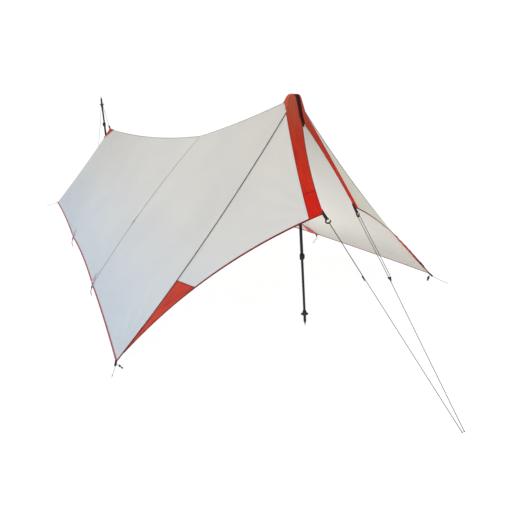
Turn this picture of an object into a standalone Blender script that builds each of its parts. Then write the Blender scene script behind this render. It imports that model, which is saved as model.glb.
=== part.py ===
"""Tapered ridge shelter of coated cloth, pitched on two telescopic poles with guylines.

Frame: metres, +Z up. The front pole stands on the origin, the door opens towards -Y and the ridge
runs back along +Y. Every fabric panel is a ruled or blended surface between its own edge curves and
is thickened outwards, so the inner faces lie on the edge curves. The right side mirrors the left.
"""

import math

import bmesh
import bpy
from mathutils import Matrix, Vector

# Pitch of the canopy. Half widths are measured from the ridge plane, stations along +Y.
PEAK_HEIGHT = 1.33
PEAK_STATION = -0.009
RIDGE_RUN = 3.357
REAR_HEIGHT = 0.816
FRONT_HALF_WIDTH = 1.108
FRONT_CORNER_SETBACK = 0.178
FRONT_CORNER_HEIGHT = 0.020
REAR_HALF_WIDTH = 0.505
REAR_CORNER_SETBACK = 0.377
REAR_CORNER_HEIGHT = 0.120
PANEL_SEAM_RUN = 1.289
PANEL_SEAM_DROP = 0.154
SIDE_TIE_RUNS = (1.086, 2.331)
SIDE_TIE_INSET = 0.021
SIDE_TIE_HEIGHT = 0.090

# Door wings: each runs from the front seam to a tip that a guyline pulls forward.
DOOR_HALF_GAP = 0.096
DOOR_REACH = 0.377
DOOR_TIP_HEIGHT = 0.780
DOOR_SPLIT_REACH = 0.074
DOOR_SPLIT_DROP = 0.147
DOOR_SLIT_HALF = 0.007
STRIP_TOP_SHARE = 0.055
STRIP_FOOT_SHARE = 0.055
CORNER_SEAM_SHARE = 0.68
CORNER_HEM_SHARE = 0.435
CORNER_END_WIDTH = 0.014

# How far each edge bows from its straight chord, as an offset at mid length (left side).
FRONT_SEAM_BOW = Vector((0.029, 0.007, -0.024))
FRONT_HEM_BOW = Vector((-0.012, 0.055, 0.057))
FREE_EDGE_BOW = Vector((-0.013, 0.006, -0.002))
STRIP_SEAM_BOW = Vector((-0.006, 0.002, -0.006))
RIDGE_FRONT_BOW = Vector((0.0, -0.003, -0.012))
RIDGE_REAR_BOW = Vector((0.0, -0.003, -0.040))
PANEL_SEAM_BOW = Vector((-0.021, -0.007, 0.021))
REAR_HEM_BOW = Vector((-0.015, -0.038, -0.010))

# Cloth and webbing.
CLOTH = 0.0012
SEAM_GAP = 0.0004
PATCH_LIFT = 0.0030
CAP_RIDGE_RUN = 0.133
REAR_PATCH_RIDGE_RUN = 0.060
REAR_PATCH_EDGE_RUN = 0.094
FIT_GAP = 0.0003
WEBBING_WIDTH = 0.015
WEBBING_THICKNESS = 0.0018
DOOR_TAB_LENGTH = 0.030
SIDE_TAB_LENGTH = 0.020
RIDGE_TAB_LENGTH = 0.030
CORNER_FOOT_LENGTH = 0.026

# Cords, with the points where the pegs hold them, the short ones a little above the ground.
GUYLINE_RADIUS = 0.00125
LOOP_RADIUS = 0.0010
DOOR_PEG = Vector((-0.061, -1.364, 0.0))
PEG_SPREAD = 0.006
LEFT_CORNER_PEG = Vector((-1.175, 0.044, 0.0))
RIGHT_CORNER_PEG = Vector((1.110, -0.002, 0.0))
REAR_CORNER_PEG = Vector((-0.521, 4.156, 0.0))
SIDE_PEG_OFFSET = Vector((-0.003, 0.049, 0.0))
REAR_PEG_STATION = 4.176
PEG_LIFT = 0.003

# Door hook, an open ring of round rod, and the triangular line tensioner.
HOOK_RING_RADIUS = 0.0120
HOOK_ROD_RADIUS = 0.0024
HOOK_OPENING = math.radians(50)
HOOK_STANDOFF = 0.0025
TAB_CLEARANCE = 0.0022
STRAND_PITCH = 0.0110
LEFT_LINE_TURN = math.radians(-58)
TENSIONER_WIDTH = 0.019
TENSIONER_LENGTH = 0.026
TENSIONER_THICKNESS = 0.0036
TENSIONER_HOLE_RADIUS = 0.0018
LEFT_TENSIONER_RUN = 0.395
RIGHT_TENSIONER_RUN = 0.440

# Telescopic pole, measured from its tip; the same profile serves both poles.
UPPER_TUBE_RADIUS = 0.0100
MIDDLE_TUBE_RADIUS = 0.0088
LOWER_TUBE_RADIUS = 0.0074
UPPER_TUBE_WALL = 0.0009
MIDDLE_TUBE_WALL = 0.0009
LOWER_TUBE_WALL = 0.0009
TUBE_INSERT = 0.120
TIP_LENGTH = 0.090
TIP_END_RADIUS = 0.0020
FERRULE_RADIUS = 0.0084
BASKET_HEIGHT = 0.074
BASKET_RADIUS = 0.0205
BASKET_THICKNESS = 0.0030
BASKET_SCALLOP = 0.0016
BASKET_SCALLOPS = 10
LOCK_HEIGHT = 0.034
LOCK_RADIUS = 0.0125
LEVER_THICKNESS = 0.0032
LEVER_HEIGHT = 0.022
LEVER_SWEEP = math.radians(165)
PIN_RADIUS = 0.0014
EAR_RADIUS = 0.0036
LEVER_BARREL_RADIUS = 0.0032
GRIP_LENGTH = 0.160
GRIP_RADIUS = 0.0165
GRIP_FACE_RADIUS = 0.0090
GRIP_CAP = 0.014
PEAK_GAP = 0.0022
FRONT_LOCKS = (0.430, 0.800)
REAR_POLE_STATION = 3.506
REAR_POLE_HEIGHT = 1.110
REAR_LOCKS = (0.265, 0.600)

FINISHES = {
    "cloth": ((0.66, 0.66, 0.62), 0.55, 0.0),
    "red cloth": ((0.62, 0.05, 0.02), 0.60, 0.0),
    "black webbing": ((0.015, 0.015, 0.016), 0.80, 0.0),
    "cord": ((0.45, 0.40, 0.38), 0.80, 0.0),
    "black plastic": ((0.02, 0.02, 0.022), 0.45, 0.0),
    "black anodised": ((0.025, 0.026, 0.03), 0.30, 0.9),
    "grip foam": ((0.02, 0.02, 0.02), 0.85, 0.0),
    "steel": ((0.55, 0.55, 0.57), 0.30, 1.0),
}

MIRROR = Vector((-1.0, 1.0, 1.0))


# ---------------------------------------------------------------- scene helpers

def clear_scene():
    for obj in list(bpy.data.objects):
        bpy.data.objects.remove(obj, do_unlink=True)


def new_collection(name, hidden=False):
    collection = bpy.data.collections.new(name)
    bpy.context.scene.collection.children.link(collection)
    collection.hide_render = hidden
    return collection


def material(name, finish):
    colour, roughness, metallic = FINISHES[finish]
    made = bpy.data.materials.new(name)
    made.use_nodes = True
    shader = made.node_tree.nodes["Principled BSDF"]
    shader.inputs["Base Color"].default_value = (*colour, 1.0)
    shader.inputs["Roughness"].default_value = roughness
    shader.inputs["Metallic"].default_value = metallic
    made.diffuse_color = (*colour, 1.0)
    return made


def add_object(name, data, finish, place=None):
    obj = bpy.data.objects.new(name, data)
    data.materials.append(material(name + "_finish", finish))
    PARTS.objects.link(obj)
    if place is not None:
        obj.matrix_world = place
    return obj


def facing(origin, along, up):
    """A frame at origin whose local X is along and whose local Z leans towards up."""
    x_axis = along.normalized()
    z_axis = (up - x_axis * up.dot(x_axis)).normalized()
    y_axis = z_axis.cross(x_axis)
    turn = Matrix((x_axis, y_axis, z_axis)).transposed().to_4x4()
    return Matrix.Translation(origin) @ turn


# ---------------------------------------------------------------- curves and surfaces

def on_side(point, side):
    """The left side is modelled, and side +1 mirrors it."""
    return point * MIRROR if side > 0 else point.copy()


def bowed(start, end, bow):
    """A shallow parabola from start to end that stands off its chord by bow at mid length."""
    return lambda t: start.lerp(end, t) + bow * (4.0 * t * (1.0 - t))


def stretch_of(curve, first, last):
    return lambda t: curve(first + (last - first) * t)


def joined(first, second, share):
    """Two curves end to end, the first taking this share of the parameter."""
    return lambda t: first(t / share) if t <= share else second((t - share) / (1.0 - share))


def blended(top, bottom, start, end):
    """A Coons patch: u runs along top and bottom, v runs from top to bottom."""
    corners = (top(0.0), top(1.0), bottom(0.0), bottom(1.0))

    def surface(u, v):
        ruled = top(u).lerp(bottom(u), v) + start(v).lerp(end(v), u)
        return ruled - corners[0].lerp(corners[1], u).lerp(corners[2].lerp(corners[3], u), v)

    return surface


def inset_surface(surface, gap):
    """The same surface pulled back from all four edges by half a seam gap."""
    def pulled(u, v):
        width = (surface(1.0, v) - surface(0.0, v)).length
        height = (surface(u, 1.0) - surface(u, 0.0)).length
        edge_u, edge_v = 0.5 * gap / width, 0.5 * gap / height
        return surface(edge_u + (1.0 - 2.0 * edge_u) * u, edge_v + (1.0 - 2.0 * edge_v) * v)

    return pulled


def cloth_sheet(name, surface, columns, rows, finish="cloth", gap=SEAM_GAP):
    """A closed panel: a grid laid on the surface and thickened away from the ridge plane."""
    mesh = bpy.data.meshes.new(name)
    cage = bmesh.new()
    bmesh.ops.create_grid(cage, x_segments=columns, y_segments=rows, size=0.5)
    laid = inset_surface(surface, gap)
    for vert in cage.verts:
        vert.co = laid(vert.co.x + 0.5, vert.co.y + 0.5)
    cage.normal_update()
    middle = sum((face.calc_center_median() for face in cage.faces), Vector()) / len(cage.faces)
    outward = Vector((middle.x, min(middle.y, 0.0), middle.z * 0.5))
    facing_out = sum((face.normal for face in cage.faces), Vector()).dot(outward)
    if facing_out < 0.0:
        bmesh.ops.reverse_faces(cage, faces=cage.faces[:])
    cage.to_mesh(mesh)
    cage.free()
    obj = add_object(name, mesh, finish)
    thick = obj.modifiers.new("cloth", "SOLIDIFY")
    thick.thickness = CLOTH
    thick.offset = 1.0
    return obj


# ---------------------------------------------------------------- canopy layout (left side)

PEAK = Vector((0.0, PEAK_STATION, PEAK_HEIGHT))
RIDGE_END = Vector((0.0, PEAK_STATION + RIDGE_RUN, REAR_HEIGHT))
SEAM_TOP = PEAK.lerp(RIDGE_END, PANEL_SEAM_RUN / RIDGE_RUN) - Vector((0.0, 0.0, PANEL_SEAM_DROP))
FRONT_CORNER = Vector((-FRONT_HALF_WIDTH, PEAK_STATION + FRONT_CORNER_SETBACK, FRONT_CORNER_HEIGHT))
REAR_CORNER = Vector((-REAR_HALF_WIDTH, RIDGE_END.y + REAR_CORNER_SETBACK, REAR_CORNER_HEIGHT))
DOOR_TIP = Vector((-DOOR_HALF_GAP, PEAK_STATION - DOOR_REACH, DOOR_TIP_HEIGHT))
SLIT_TOP = PEAK + Vector((-DOOR_SLIT_HALF, -0.004, -0.006))
SLIT_FOOT = PEAK + Vector((-DOOR_SLIT_HALF, -DOOR_SPLIT_REACH, -DOOR_SPLIT_DROP))


def side_tie(run):
    """A tie point on the side hem, this far along Y behind the front corner."""
    share = run / (REAR_CORNER.y - FRONT_CORNER.y)
    point = FRONT_CORNER.lerp(REAR_CORNER, share)
    return Vector((point.x + SIDE_TIE_INSET, point.y, SIDE_TIE_HEIGHT))


FIRST_TIE, SECOND_TIE = (side_tie(run) for run in SIDE_TIE_RUNS)

RIDGE_FRONT = bowed(PEAK, SEAM_TOP, RIDGE_FRONT_BOW)
RIDGE_REAR = bowed(SEAM_TOP, RIDGE_END, RIDGE_REAR_BOW)
PANEL_SEAM = bowed(SEAM_TOP, FIRST_TIE, PANEL_SEAM_BOW)
FRONT_SEAM = bowed(PEAK, FRONT_CORNER, FRONT_SEAM_BOW)
REAR_HEM = bowed(RIDGE_END, REAR_CORNER, REAR_HEM_BOW)
SIDE_HEM_FRONT = bowed(FRONT_CORNER, FIRST_TIE, Vector((0.004, 0.0, 0.006)))
SIDE_HEM_REAR = joined(
    bowed(FIRST_TIE, SECOND_TIE, Vector((0.010, 0.0, 0.012))),
    bowed(SECOND_TIE, REAR_CORNER, Vector((0.008, 0.0, 0.008))),
    (SIDE_TIE_RUNS[1] - SIDE_TIE_RUNS[0]) / (REAR_CORNER.y - FIRST_TIE.y),
)
DOOR_HEM = bowed(DOOR_TIP, FRONT_CORNER, FRONT_HEM_BOW)
FREE_EDGE = joined(
    bowed(SLIT_TOP, SLIT_FOOT, Vector()),
    bowed(SLIT_FOOT, DOOR_TIP, FREE_EDGE_BOW),
    (SLIT_FOOT - SLIT_TOP).length / ((SLIT_FOOT - SLIT_TOP).length + (DOOR_TIP - SLIT_FOOT).length),
)
STRIP_TOP = FRONT_SEAM(STRIP_TOP_SHARE)
STRIP_FOOT = DOOR_HEM(STRIP_FOOT_SHARE)
CORNER_TOP = FRONT_SEAM(CORNER_SEAM_SHARE)
CORNER_FOOT = DOOR_HEM(1.0 - CORNER_HEM_SHARE)
STRIP_SEAM = bowed(STRIP_TOP, STRIP_FOOT, STRIP_SEAM_BOW)
CORNER_SEAM = bowed(CORNER_TOP, CORNER_FOOT, Vector())
CORNER_END_SHARE = CORNER_END_WIDTH / (CORNER_TOP - CORNER_FOOT).length


def mirrored(surface, side):
    return lambda u, v: on_side(surface(u, v), side)


def lifted_wall_point(surface, u, v, lift):
    """A point of a wall surface, moved outwards along its normal."""
    step = 0.01
    along = surface(min(u + step, 1.0), v) - surface(max(u - step, 0.0), v)
    down = surface(u, min(v + step, 1.0)) - surface(u, max(v - step, 0.0))
    normal = along.cross(down).normalized()
    return surface(u, v) + normal * (lift if normal.x < 0.0 else -lift), normal


FRONT_WALL = blended(RIDGE_FRONT, SIDE_HEM_FRONT, FRONT_SEAM, PANEL_SEAM)
REAR_WALL = blended(RIDGE_REAR, SIDE_HEM_REAR, PANEL_SEAM, REAR_HEM)


def build_walls():
    for side, name in ((-1, "left"), (1, "right")):
        cloth_sheet(f"{name}_front_wall", mirrored(FRONT_WALL, side), 9, 8)
        cloth_sheet(f"{name}_rear_wall", mirrored(REAR_WALL, side), 14, 7)


def build_wings():
    """Door wing, its red front strip and its red corner panel, on both sides."""
    wing = blended(
        stretch_of(FRONT_SEAM, STRIP_TOP_SHARE, CORNER_SEAM_SHARE),
        stretch_of(DOOR_HEM, STRIP_FOOT_SHARE, 1.0 - CORNER_HEM_SHARE),
        STRIP_SEAM, CORNER_SEAM)
    strip = blended(
        stretch_of(FRONT_SEAM, 0.004, STRIP_TOP_SHARE),
        stretch_of(DOOR_HEM, 0.004, STRIP_FOOT_SHARE),
        FREE_EDGE, STRIP_SEAM)
    corner_end = 1.0 - CORNER_END_SHARE * 0.5
    corner = blended(
        stretch_of(FRONT_SEAM, CORNER_SEAM_SHARE, corner_end),
        stretch_of(DOOR_HEM, 1.0 - CORNER_HEM_SHARE, corner_end),
        CORNER_SEAM, lambda t: FRONT_SEAM(corner_end).lerp(DOOR_HEM(corner_end), t))
    for side, name in ((-1, "left"), (1, "right")):
        cloth_sheet(f"{name}_wing", mirrored(wing, side), 6, 7)
        cloth_sheet(f"{name}_front_strip", mirrored(strip, side), 2, 10, "red cloth")
        cloth_sheet(f"{name}_corner_panel", mirrored(corner, side), 6, 4, "red cloth")


def gusset(name, ridge_start, ridge_share, edge, edge_share, wall, wall_end):
    """A folded patch over the ridge end, lifted clear of both walls under it."""
    lift = CLOTH + PATCH_LIFT
    _, slope = lifted_wall_point(wall, wall_end, 0.05, lift)
    rise = Vector((0.0, 0.0, lift / abs(slope.z)))
    outward = Vector((-abs(slope.x), 0.0, abs(slope.z))) * lift

    def surface(u, v):
        across = 2.0 * u - 1.0
        reach = abs(across) * 0.94
        near = edge(edge_share * reach)
        far = ridge_start(ridge_share).lerp(edge(edge_share), reach)
        point = near.lerp(far, v)
        shift = rise.lerp(outward, min(1.0, reach * 4.0))
        return on_side(point + shift, 1 if across > 0.0 else -1)

    cloth_sheet(name, surface, 8, 2, "red cloth", gap=0.002)


def build_patches():
    gusset("peak_cap", RIDGE_FRONT, CAP_RIDGE_RUN / PANEL_SEAM_RUN, FRONT_SEAM, STRIP_TOP_SHARE,
           FRONT_WALL, 0.05)
    rear_ridge_share = REAR_PATCH_RIDGE_RUN / (RIDGE_RUN - PANEL_SEAM_RUN)
    rear_edge_share = REAR_PATCH_EDGE_RUN / (REAR_CORNER - RIDGE_END).length
    gusset("rear_ridge_patch", lambda t: RIDGE_REAR(1.0 - t), rear_ridge_share, REAR_HEM,
           rear_edge_share, REAR_WALL, 0.95)


# ---------------------------------------------------------------- webbing

def webbing(name, start, along, up, length, width=WEBBING_WIDTH):
    """A flat tab that begins one fit gap away from start and runs along."""
    bpy.ops.mesh.primitive_cube_add(size=1.0)
    tab = bpy.context.object
    tab.name = name
    for collection in list(tab.users_collection):
        collection.objects.unlink(tab)
    PARTS.objects.link(tab)
    tab.data.transform(Matrix.Diagonal((length, width, WEBBING_THICKNESS, 1.0)))
    tab.data.materials.append(material(name + "_finish", "black webbing"))
    edge = tab.modifiers.new("edge", "BEVEL")
    edge.width = WEBBING_THICKNESS * 0.3
    edge.segments = 1
    centre = start + along.normalized() * (length * 0.5 + FIT_GAP)
    tab.matrix_world = facing(centre, along, up)
    return tab


def door_line(side):
    """Start at the wing tip, unit direction to the door peg, and full length."""
    tip = on_side(DOOR_TIP, side)
    peg = DOOR_PEG + Vector((side * PEG_SPREAD, 0.0, GUYLINE_RADIUS + FIT_GAP))
    return tip, (peg - tip).normalized(), (peg - tip).length


def build_tabs():
    for side, name in ((-1, "left"), (1, "right")):
        tip, along, _ = door_line(side)
        webbing(f"{name}_door_tab", tip + along * TAB_CLEARANCE, along, Vector((side, 0.3, 0.3)),
                DOOR_TAB_LENGTH)
        for number, tie in enumerate((FIRST_TIE, SECOND_TIE), 1):
            foot = on_side(tie, side)
            down = Vector((side * 0.35, 0.0, -0.94))
            webbing(f"{name}_side_tab_{number}", foot + down * TAB_CLEARANCE, down,
                    Vector((side, 0.0, 0.35)), SIDE_TAB_LENGTH)
        corner = on_side(FRONT_CORNER, side)
        away = corner_pull(side)
        height = FRONT_CORNER_HEIGHT - TAB_CLEARANCE
        centre = corner + away * (CORNER_FOOT_LENGTH * 0.5)
        start = Vector((centre.x, centre.y, height + FIT_GAP))
        webbing(f"{name}_corner_tab", start, Vector((0.0, 0.0, -1.0)),
                Vector((away.y, -away.x, 0.0)), height, CORNER_FOOT_LENGTH)
    pull = (rear_basket() - RIDGE_END).normalized()
    webbing("rear_ridge_tab", RIDGE_END + pull * 0.004, pull, Vector((0.0, -1.0, 1.0)),
            RIDGE_TAB_LENGTH)


def corner_pull(side):
    """Level unit direction from a front corner to its peg."""
    peg = RIGHT_CORNER_PEG if side > 0 else LEFT_CORNER_PEG
    away = peg - on_side(FRONT_CORNER, side)
    return Vector((away.x, away.y, 0.0)).normalized()


# ---------------------------------------------------------------- cords

def smooth_route(points, spacing, most=80):
    """Points along one smooth curve through the route's own points, no closer than spacing."""
    padded = [points[0] * 2 - points[1], *points, points[-1] * 2 - points[-2]]
    route = []
    for before, start, end, after in zip(padded, padded[1:], padded[2:], padded[3:]):
        chord = end - start
        lead = ((start - before).normalized() + chord.normalized()).normalized() * chord.length
        trail = ((after - end).normalized() + chord.normalized()).normalized() * chord.length
        steps = min(most, max(3, round(chord.length / spacing)))
        for step in range(steps):
            t = step / steps
            route.append(start * (2 * t ** 3 - 3 * t ** 2 + 1) + lead * (t ** 3 - 2 * t ** 2 + t)
                         + end * (3 * t ** 2 - 2 * t ** 3) + trail * (t ** 3 - t ** 2))
    route.append(points[-1].copy())
    return route


def rod(name, points, radius, finish, resolution=2, cyclic=False):
    curve = bpy.data.curves.new(name, "CURVE")
    curve.dimensions = "3D"
    curve.bevel_depth = radius
    curve.bevel_resolution = resolution
    curve.use_fill_caps = not cyclic
    spline = curve.splines.new("POLY")
    spline.points.add(len(points) - 1)
    for slot, point in zip(spline.points, points):
        slot.co = (*point, 1.0)
    spline.use_cyclic_u = cyclic
    return add_object(name, curve, finish)


def door_hook_centre(side):
    tip, along, _ = door_line(side)
    reach = TAB_CLEARANCE + DOOR_TAB_LENGTH + 2.0 * FIT_GAP + HOOK_ROD_RADIUS + HOOK_RING_RADIUS
    return tip + along * reach, along


def strand_side(side):
    """Direction across a guyline, in which its doubled strands lie apart."""
    _, along, _ = door_line(side)
    level = Vector((0.0, 0.0, 1.0)).cross(along).normalized()
    return Matrix.Rotation(LEFT_LINE_TURN if side < 0 else 0.0, 3, along) @ level


def guyline_route(side, run):
    """From the peg up to the hook, a tight turn just short of its ring and back to the tensioner."""
    tip, along, length = door_line(side)
    centre, _ = door_hook_centre(side)
    across = strand_side(side)
    turn = centre + along * (HOOK_RING_RADIUS + HOOK_ROD_RADIUS + GUYLINE_RADIUS + HOOK_STANDOFF + 0.003)
    half = HOOK_ROD_RADIUS + GUYLINE_RADIUS + 0.0008
    below = tip + along * (run - 0.004)
    main = [tip + along * length, tip + along * (length * 0.75), tip + along * (length * 0.5),
            tip + along * (run + 0.06), below]
    loop = [turn + along * 0.030 - across * (half + 0.0002), turn + along * 0.009 - across * half,
            turn - along * 0.0008 - across * half * 0.72, turn - along * 0.0030,
            turn - along * 0.0008 + across * half * 0.72, turn + along * 0.009 + across * half,
            turn + along * 0.030 + across * (half + 0.0002)]
    tail = [below + across * STRAND_PITCH]
    return main + loop + tail


def build_guylines():
    for side, name, run in ((-1, "left", LEFT_TENSIONER_RUN), (1, "right", RIGHT_TENSIONER_RUN)):
        route = smooth_route(guyline_route(side, run), 0.0035, most=4)
        rod(f"{name}_guyline", route, GUYLINE_RADIUS, "cord")
        build_door_hook(side, name)
        build_tensioner(side, name, run)


def build_door_hook(side, name):
    """An open ring that stands square to the strands, its opening turned up and outwards."""
    centre, along = door_hook_centre(side)
    across = strand_side(side)
    upright = along.cross(across).normalized()
    upright = upright if upright.z > 0.0 else -upright
    sweep = 2.0 * math.pi - HOOK_OPENING
    start = math.radians(80) + HOOK_OPENING * 0.5
    turns = 22
    points = []
    for step in range(turns + 1):
        angle = start + sweep * step / turns
        points.append(centre + HOOK_RING_RADIUS * (along * -math.cos(angle) + upright * math.sin(angle)))
    rod(f"{name}_door_hook", points, HOOK_ROD_RADIUS, "black plastic")


def outline_plate(name, outlines, thickness, finish, place):
    """A flat plate; the first outline is its edge and the others are holes."""
    curve = bpy.data.curves.new(name, "CURVE")
    curve.dimensions = "2D"
    curve.fill_mode = "BOTH"
    curve.extrude = thickness * 0.5
    for outline in outlines:
        spline = curve.splines.new("POLY")
        spline.points.add(len(outline) - 1)
        for slot, (x, y) in zip(spline.points, outline):
            slot.co = (x, y, 0.0, 1.0)
        spline.use_cyclic_u = True
    return add_object(name, curve, finish, place)


def circle(centre_x, centre_y, radius, count=12, first=0.0):
    return [(centre_x + radius * math.cos(first + 2.0 * math.pi * step / count),
             centre_y + radius * math.sin(first + 2.0 * math.pi * step / count))
            for step in range(count)]


def rounded_triangle(width, length, radius):
    """Base at x = 0, apex at x = length, each corner rounded."""
    corners = ((radius, radius - width * 0.5, 150), (length - radius, 0.0, 300),
               (radius, width * 0.5 - radius, 60))
    outline = []
    for x, y, first in corners:
        for step in range(5):
            angle = math.radians(first + step * 30)
            outline.append((x + radius * math.cos(angle), y + radius * math.sin(angle)))
    return outline


def build_tensioner(side, name, run):
    """A three-hole plate just behind the strands, so the line lies along its face."""
    tip, along, _ = door_line(side)
    across = strand_side(side)
    face = along.cross(across).normalized()
    face = face if face.z > 0.0 else -face
    behind = TENSIONER_THICKNESS * 0.5 + GUYLINE_RADIUS + FIT_GAP
    origin = tip + along * run + across * (STRAND_PITCH * 0.5) - face * behind
    radius = 0.0036
    holes = [circle(radius + 0.001, offset, TENSIONER_HOLE_RADIUS)
             for offset in (-STRAND_PITCH * 0.45, STRAND_PITCH * 0.45)]
    holes.append(circle(TENSIONER_LENGTH - radius - 0.001, 0.0, TENSIONER_HOLE_RADIUS))
    outline = rounded_triangle(TENSIONER_WIDTH, TENSIONER_LENGTH, radius)
    outline_plate(f"{name}_line_tensioner", [outline, *holes], TENSIONER_THICKNESS, "black plastic",
                  facing(origin, along, face))


def tie_loop(name, tie, side):
    """A thin loop from a side tab to the ground and back."""
    down = Vector((side * 0.35, 0.0, -0.94)).normalized()
    foot = on_side(tie, side) + down * (TAB_CLEARANCE + SIDE_TAB_LENGTH + 2.5 * FIT_GAP)
    offset = on_side(SIDE_PEG_OFFSET, side)
    peg = Vector((on_side(tie, side).x + offset.x, tie.y + offset.y, PEG_LIFT))
    spread = Vector((0.0, 0.0045, 0.0))
    out = Vector((side * 0.005, 0.0, 0.0))
    points = [foot - spread, foot - spread + down * 0.008, foot.lerp(peg, 0.5) - spread * 1.1 + out,
              peg - spread * 0.9 + Vector((0.0, -0.004, 0.002)), peg + Vector((0.0, 0.003, 0.0)),
              peg + spread * 0.6 + Vector((0.0, 0.0, 0.0045)), foot.lerp(peg, 0.5) + spread * 1.1 + out,
              foot + spread + down * 0.008, foot + spread]
    rod(name, smooth_route(points, 0.012), LOOP_RADIUS, "cord")


def build_ground_cords():
    for side, name in ((-1, "left"), (1, "right")):
        away = corner_pull(side)
        corner = on_side(FRONT_CORNER, side)
        peg = (RIGHT_CORNER_PEG if side > 0 else LEFT_CORNER_PEG).copy()
        start = corner + away * (CORNER_FOOT_LENGTH + 3.0 * FIT_GAP)
        start.z = FRONT_CORNER_HEIGHT * 0.5
        peg.z = PEG_LIFT
        bend = start.lerp(peg, 0.5) + Vector((0.0, 0.0, -0.0015))
        rod(f"{name}_front_corner_cord", smooth_route([start, bend, peg], 0.012), LOOP_RADIUS, "cord")
        rear = on_side(REAR_CORNER, side)
        rear_peg = on_side(REAR_CORNER_PEG, side)
        rear_peg.z = PEG_LIFT
        pull = (rear_peg - rear).normalized()
        first = rear + pull * 0.003
        rod(f"{name}_rear_corner_cord", smooth_route([first, first.lerp(rear_peg, 0.5), rear_peg], 0.04),
            LOOP_RADIUS, "cord")
        for number, tie in enumerate((FIRST_TIE, SECOND_TIE), 1):
            tie_loop(f"{name}_side_loop_{number}", tie, side)


def rear_basket():
    """Where the cords leave the basket of the upside-down rear pole."""
    return Vector((0.0, REAR_POLE_STATION, REAR_POLE_HEIGHT - BASKET_HEIGHT))


def build_rear_cords():
    """The line to the ridge and the line to the ground, both from the rim of the rear basket."""
    basket = rear_basket()
    reach = Vector((0.0, BASKET_RADIUS + GUYLINE_RADIUS + FIT_GAP, 0.0))
    pull = (basket - RIDGE_END).normalized()
    tab_end = RIDGE_END + pull * (0.004 + RIDGE_TAB_LENGTH + 3.0 * FIT_GAP)
    start = basket - reach
    points = [start, start + Vector((0.0, -0.0015, -0.012)), start.lerp(tab_end, 0.5), tab_end]
    rod("rear_ridge_cord", smooth_route(points, 0.012), GUYLINE_RADIUS, "cord")
    peg = Vector((0.0, REAR_PEG_STATION, PEG_LIFT))
    start = basket + reach
    points = [start, start + Vector((0.0, 0.0045, -0.012)),
              start.lerp(peg, 0.5) + Vector((0.0, 0.001, -0.002)), peg]
    rod("rear_guyline", smooth_route(points, 0.025), GUYLINE_RADIUS, "cord")


# ---------------------------------------------------------------- telescopic poles

def turned(name, profile, finish, place, steps=24):
    """A closed profile of (radius, height) turned round the local Z axis."""
    mesh = bpy.data.meshes.new(name)
    cage = bmesh.new()
    verts = [cage.verts.new((radius, 0.0, height)) for radius, height in profile]
    closed = min(radius for radius, _ in profile) > 0.0
    for first, second in zip(verts, verts[1:]):
        cage.edges.new((first, second))
    if closed:
        cage.edges.new((verts[-1], verts[0]))
    cage.to_mesh(mesh)
    cage.free()
    obj = add_object(name, mesh, finish, place)
    screw = obj.modifiers.new("turn", "SCREW")
    screw.steps = steps
    screw.render_steps = steps
    screw.use_merge_vertices = True
    screw.merge_threshold = 0.00001
    screw.use_smooth_shade = True
    return obj


def tube_profile(outer, wall, bottom, top):
    return [(outer, top), (outer, bottom), (outer - wall, bottom), (outer - wall, top)]


def pole_frame(foot, upside_down):
    """Local Z runs from the tip towards the grip."""
    turn = Matrix.Rotation(math.pi, 4, "X") if upside_down else Matrix.Identity(4)
    return Matrix.Translation(foot) @ turn


def build_lock(prefix, number, centre_height, bore, place, side_angle):
    """A clamp collar with two ears and a pin, and the lever that wraps round it."""
    bottom = centre_height - LOCK_HEIGHT * 0.5
    top = centre_height + LOCK_HEIGHT * 0.5
    pivot_radius = LOCK_RADIUS + LEVER_BARREL_RADIUS + FIT_GAP
    lever_half = LEVER_HEIGHT * 0.5
    spin = Matrix.Rotation(side_angle, 4, "Z")
    chamfer = 0.0015
    profile = [(LOCK_RADIUS - chamfer, top), (LOCK_RADIUS, top - chamfer),
               (LOCK_RADIUS, bottom + chamfer), (LOCK_RADIUS - chamfer, bottom),
               (bore, bottom), (bore, top)]
    collar = turned(f"{prefix}_{number}_lock", profile, "black plastic", place @ spin)
    ear_height = (LOCK_HEIGHT - LEVER_HEIGHT) * 0.5 - FIT_GAP - 0.0015
    pieces = []
    for name, middle in (("upper_ear", lever_half + FIT_GAP + ear_height * 0.5),
                         ("lower_ear", -lever_half - FIT_GAP - ear_height * 0.5)):
        ear = ear_block(f"{prefix}_{number}_{name}", pivot_radius, centre_height + middle, ear_height)
        pieces.append(ear)
    pin_length = LEVER_HEIGHT + 2.0 * FIT_GAP + ear_height
    pieces.append(cylinder(f"{prefix}_{number}_pin", PIN_RADIUS, pin_length,
                           (pivot_radius, 0.0, centre_height), 12))
    for piece in pieces:
        piece.matrix_world = place @ spin @ piece.matrix_world
        join = collar.modifiers.new(piece.name, "BOOLEAN")
        join.operation = "UNION"
        join.object = piece
    build_lever(f"{prefix}_{number}_lever", pivot_radius,
                place @ spin @ Matrix.Translation((0.0, 0.0, centre_height)))


def as_cutter(obj):
    for collection in list(obj.users_collection):
        collection.objects.unlink(obj)
    CUTTERS.objects.link(obj)
    obj.hide_render = True
    obj.display_type = "WIRE"
    return obj


def cylinder(name, radius, depth, centre, count):
    bpy.ops.mesh.primitive_cylinder_add(vertices=count, radius=radius, depth=depth)
    made = bpy.context.object
    made.name = name
    made.matrix_world = Matrix.Translation(centre)
    return as_cutter(made)


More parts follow.
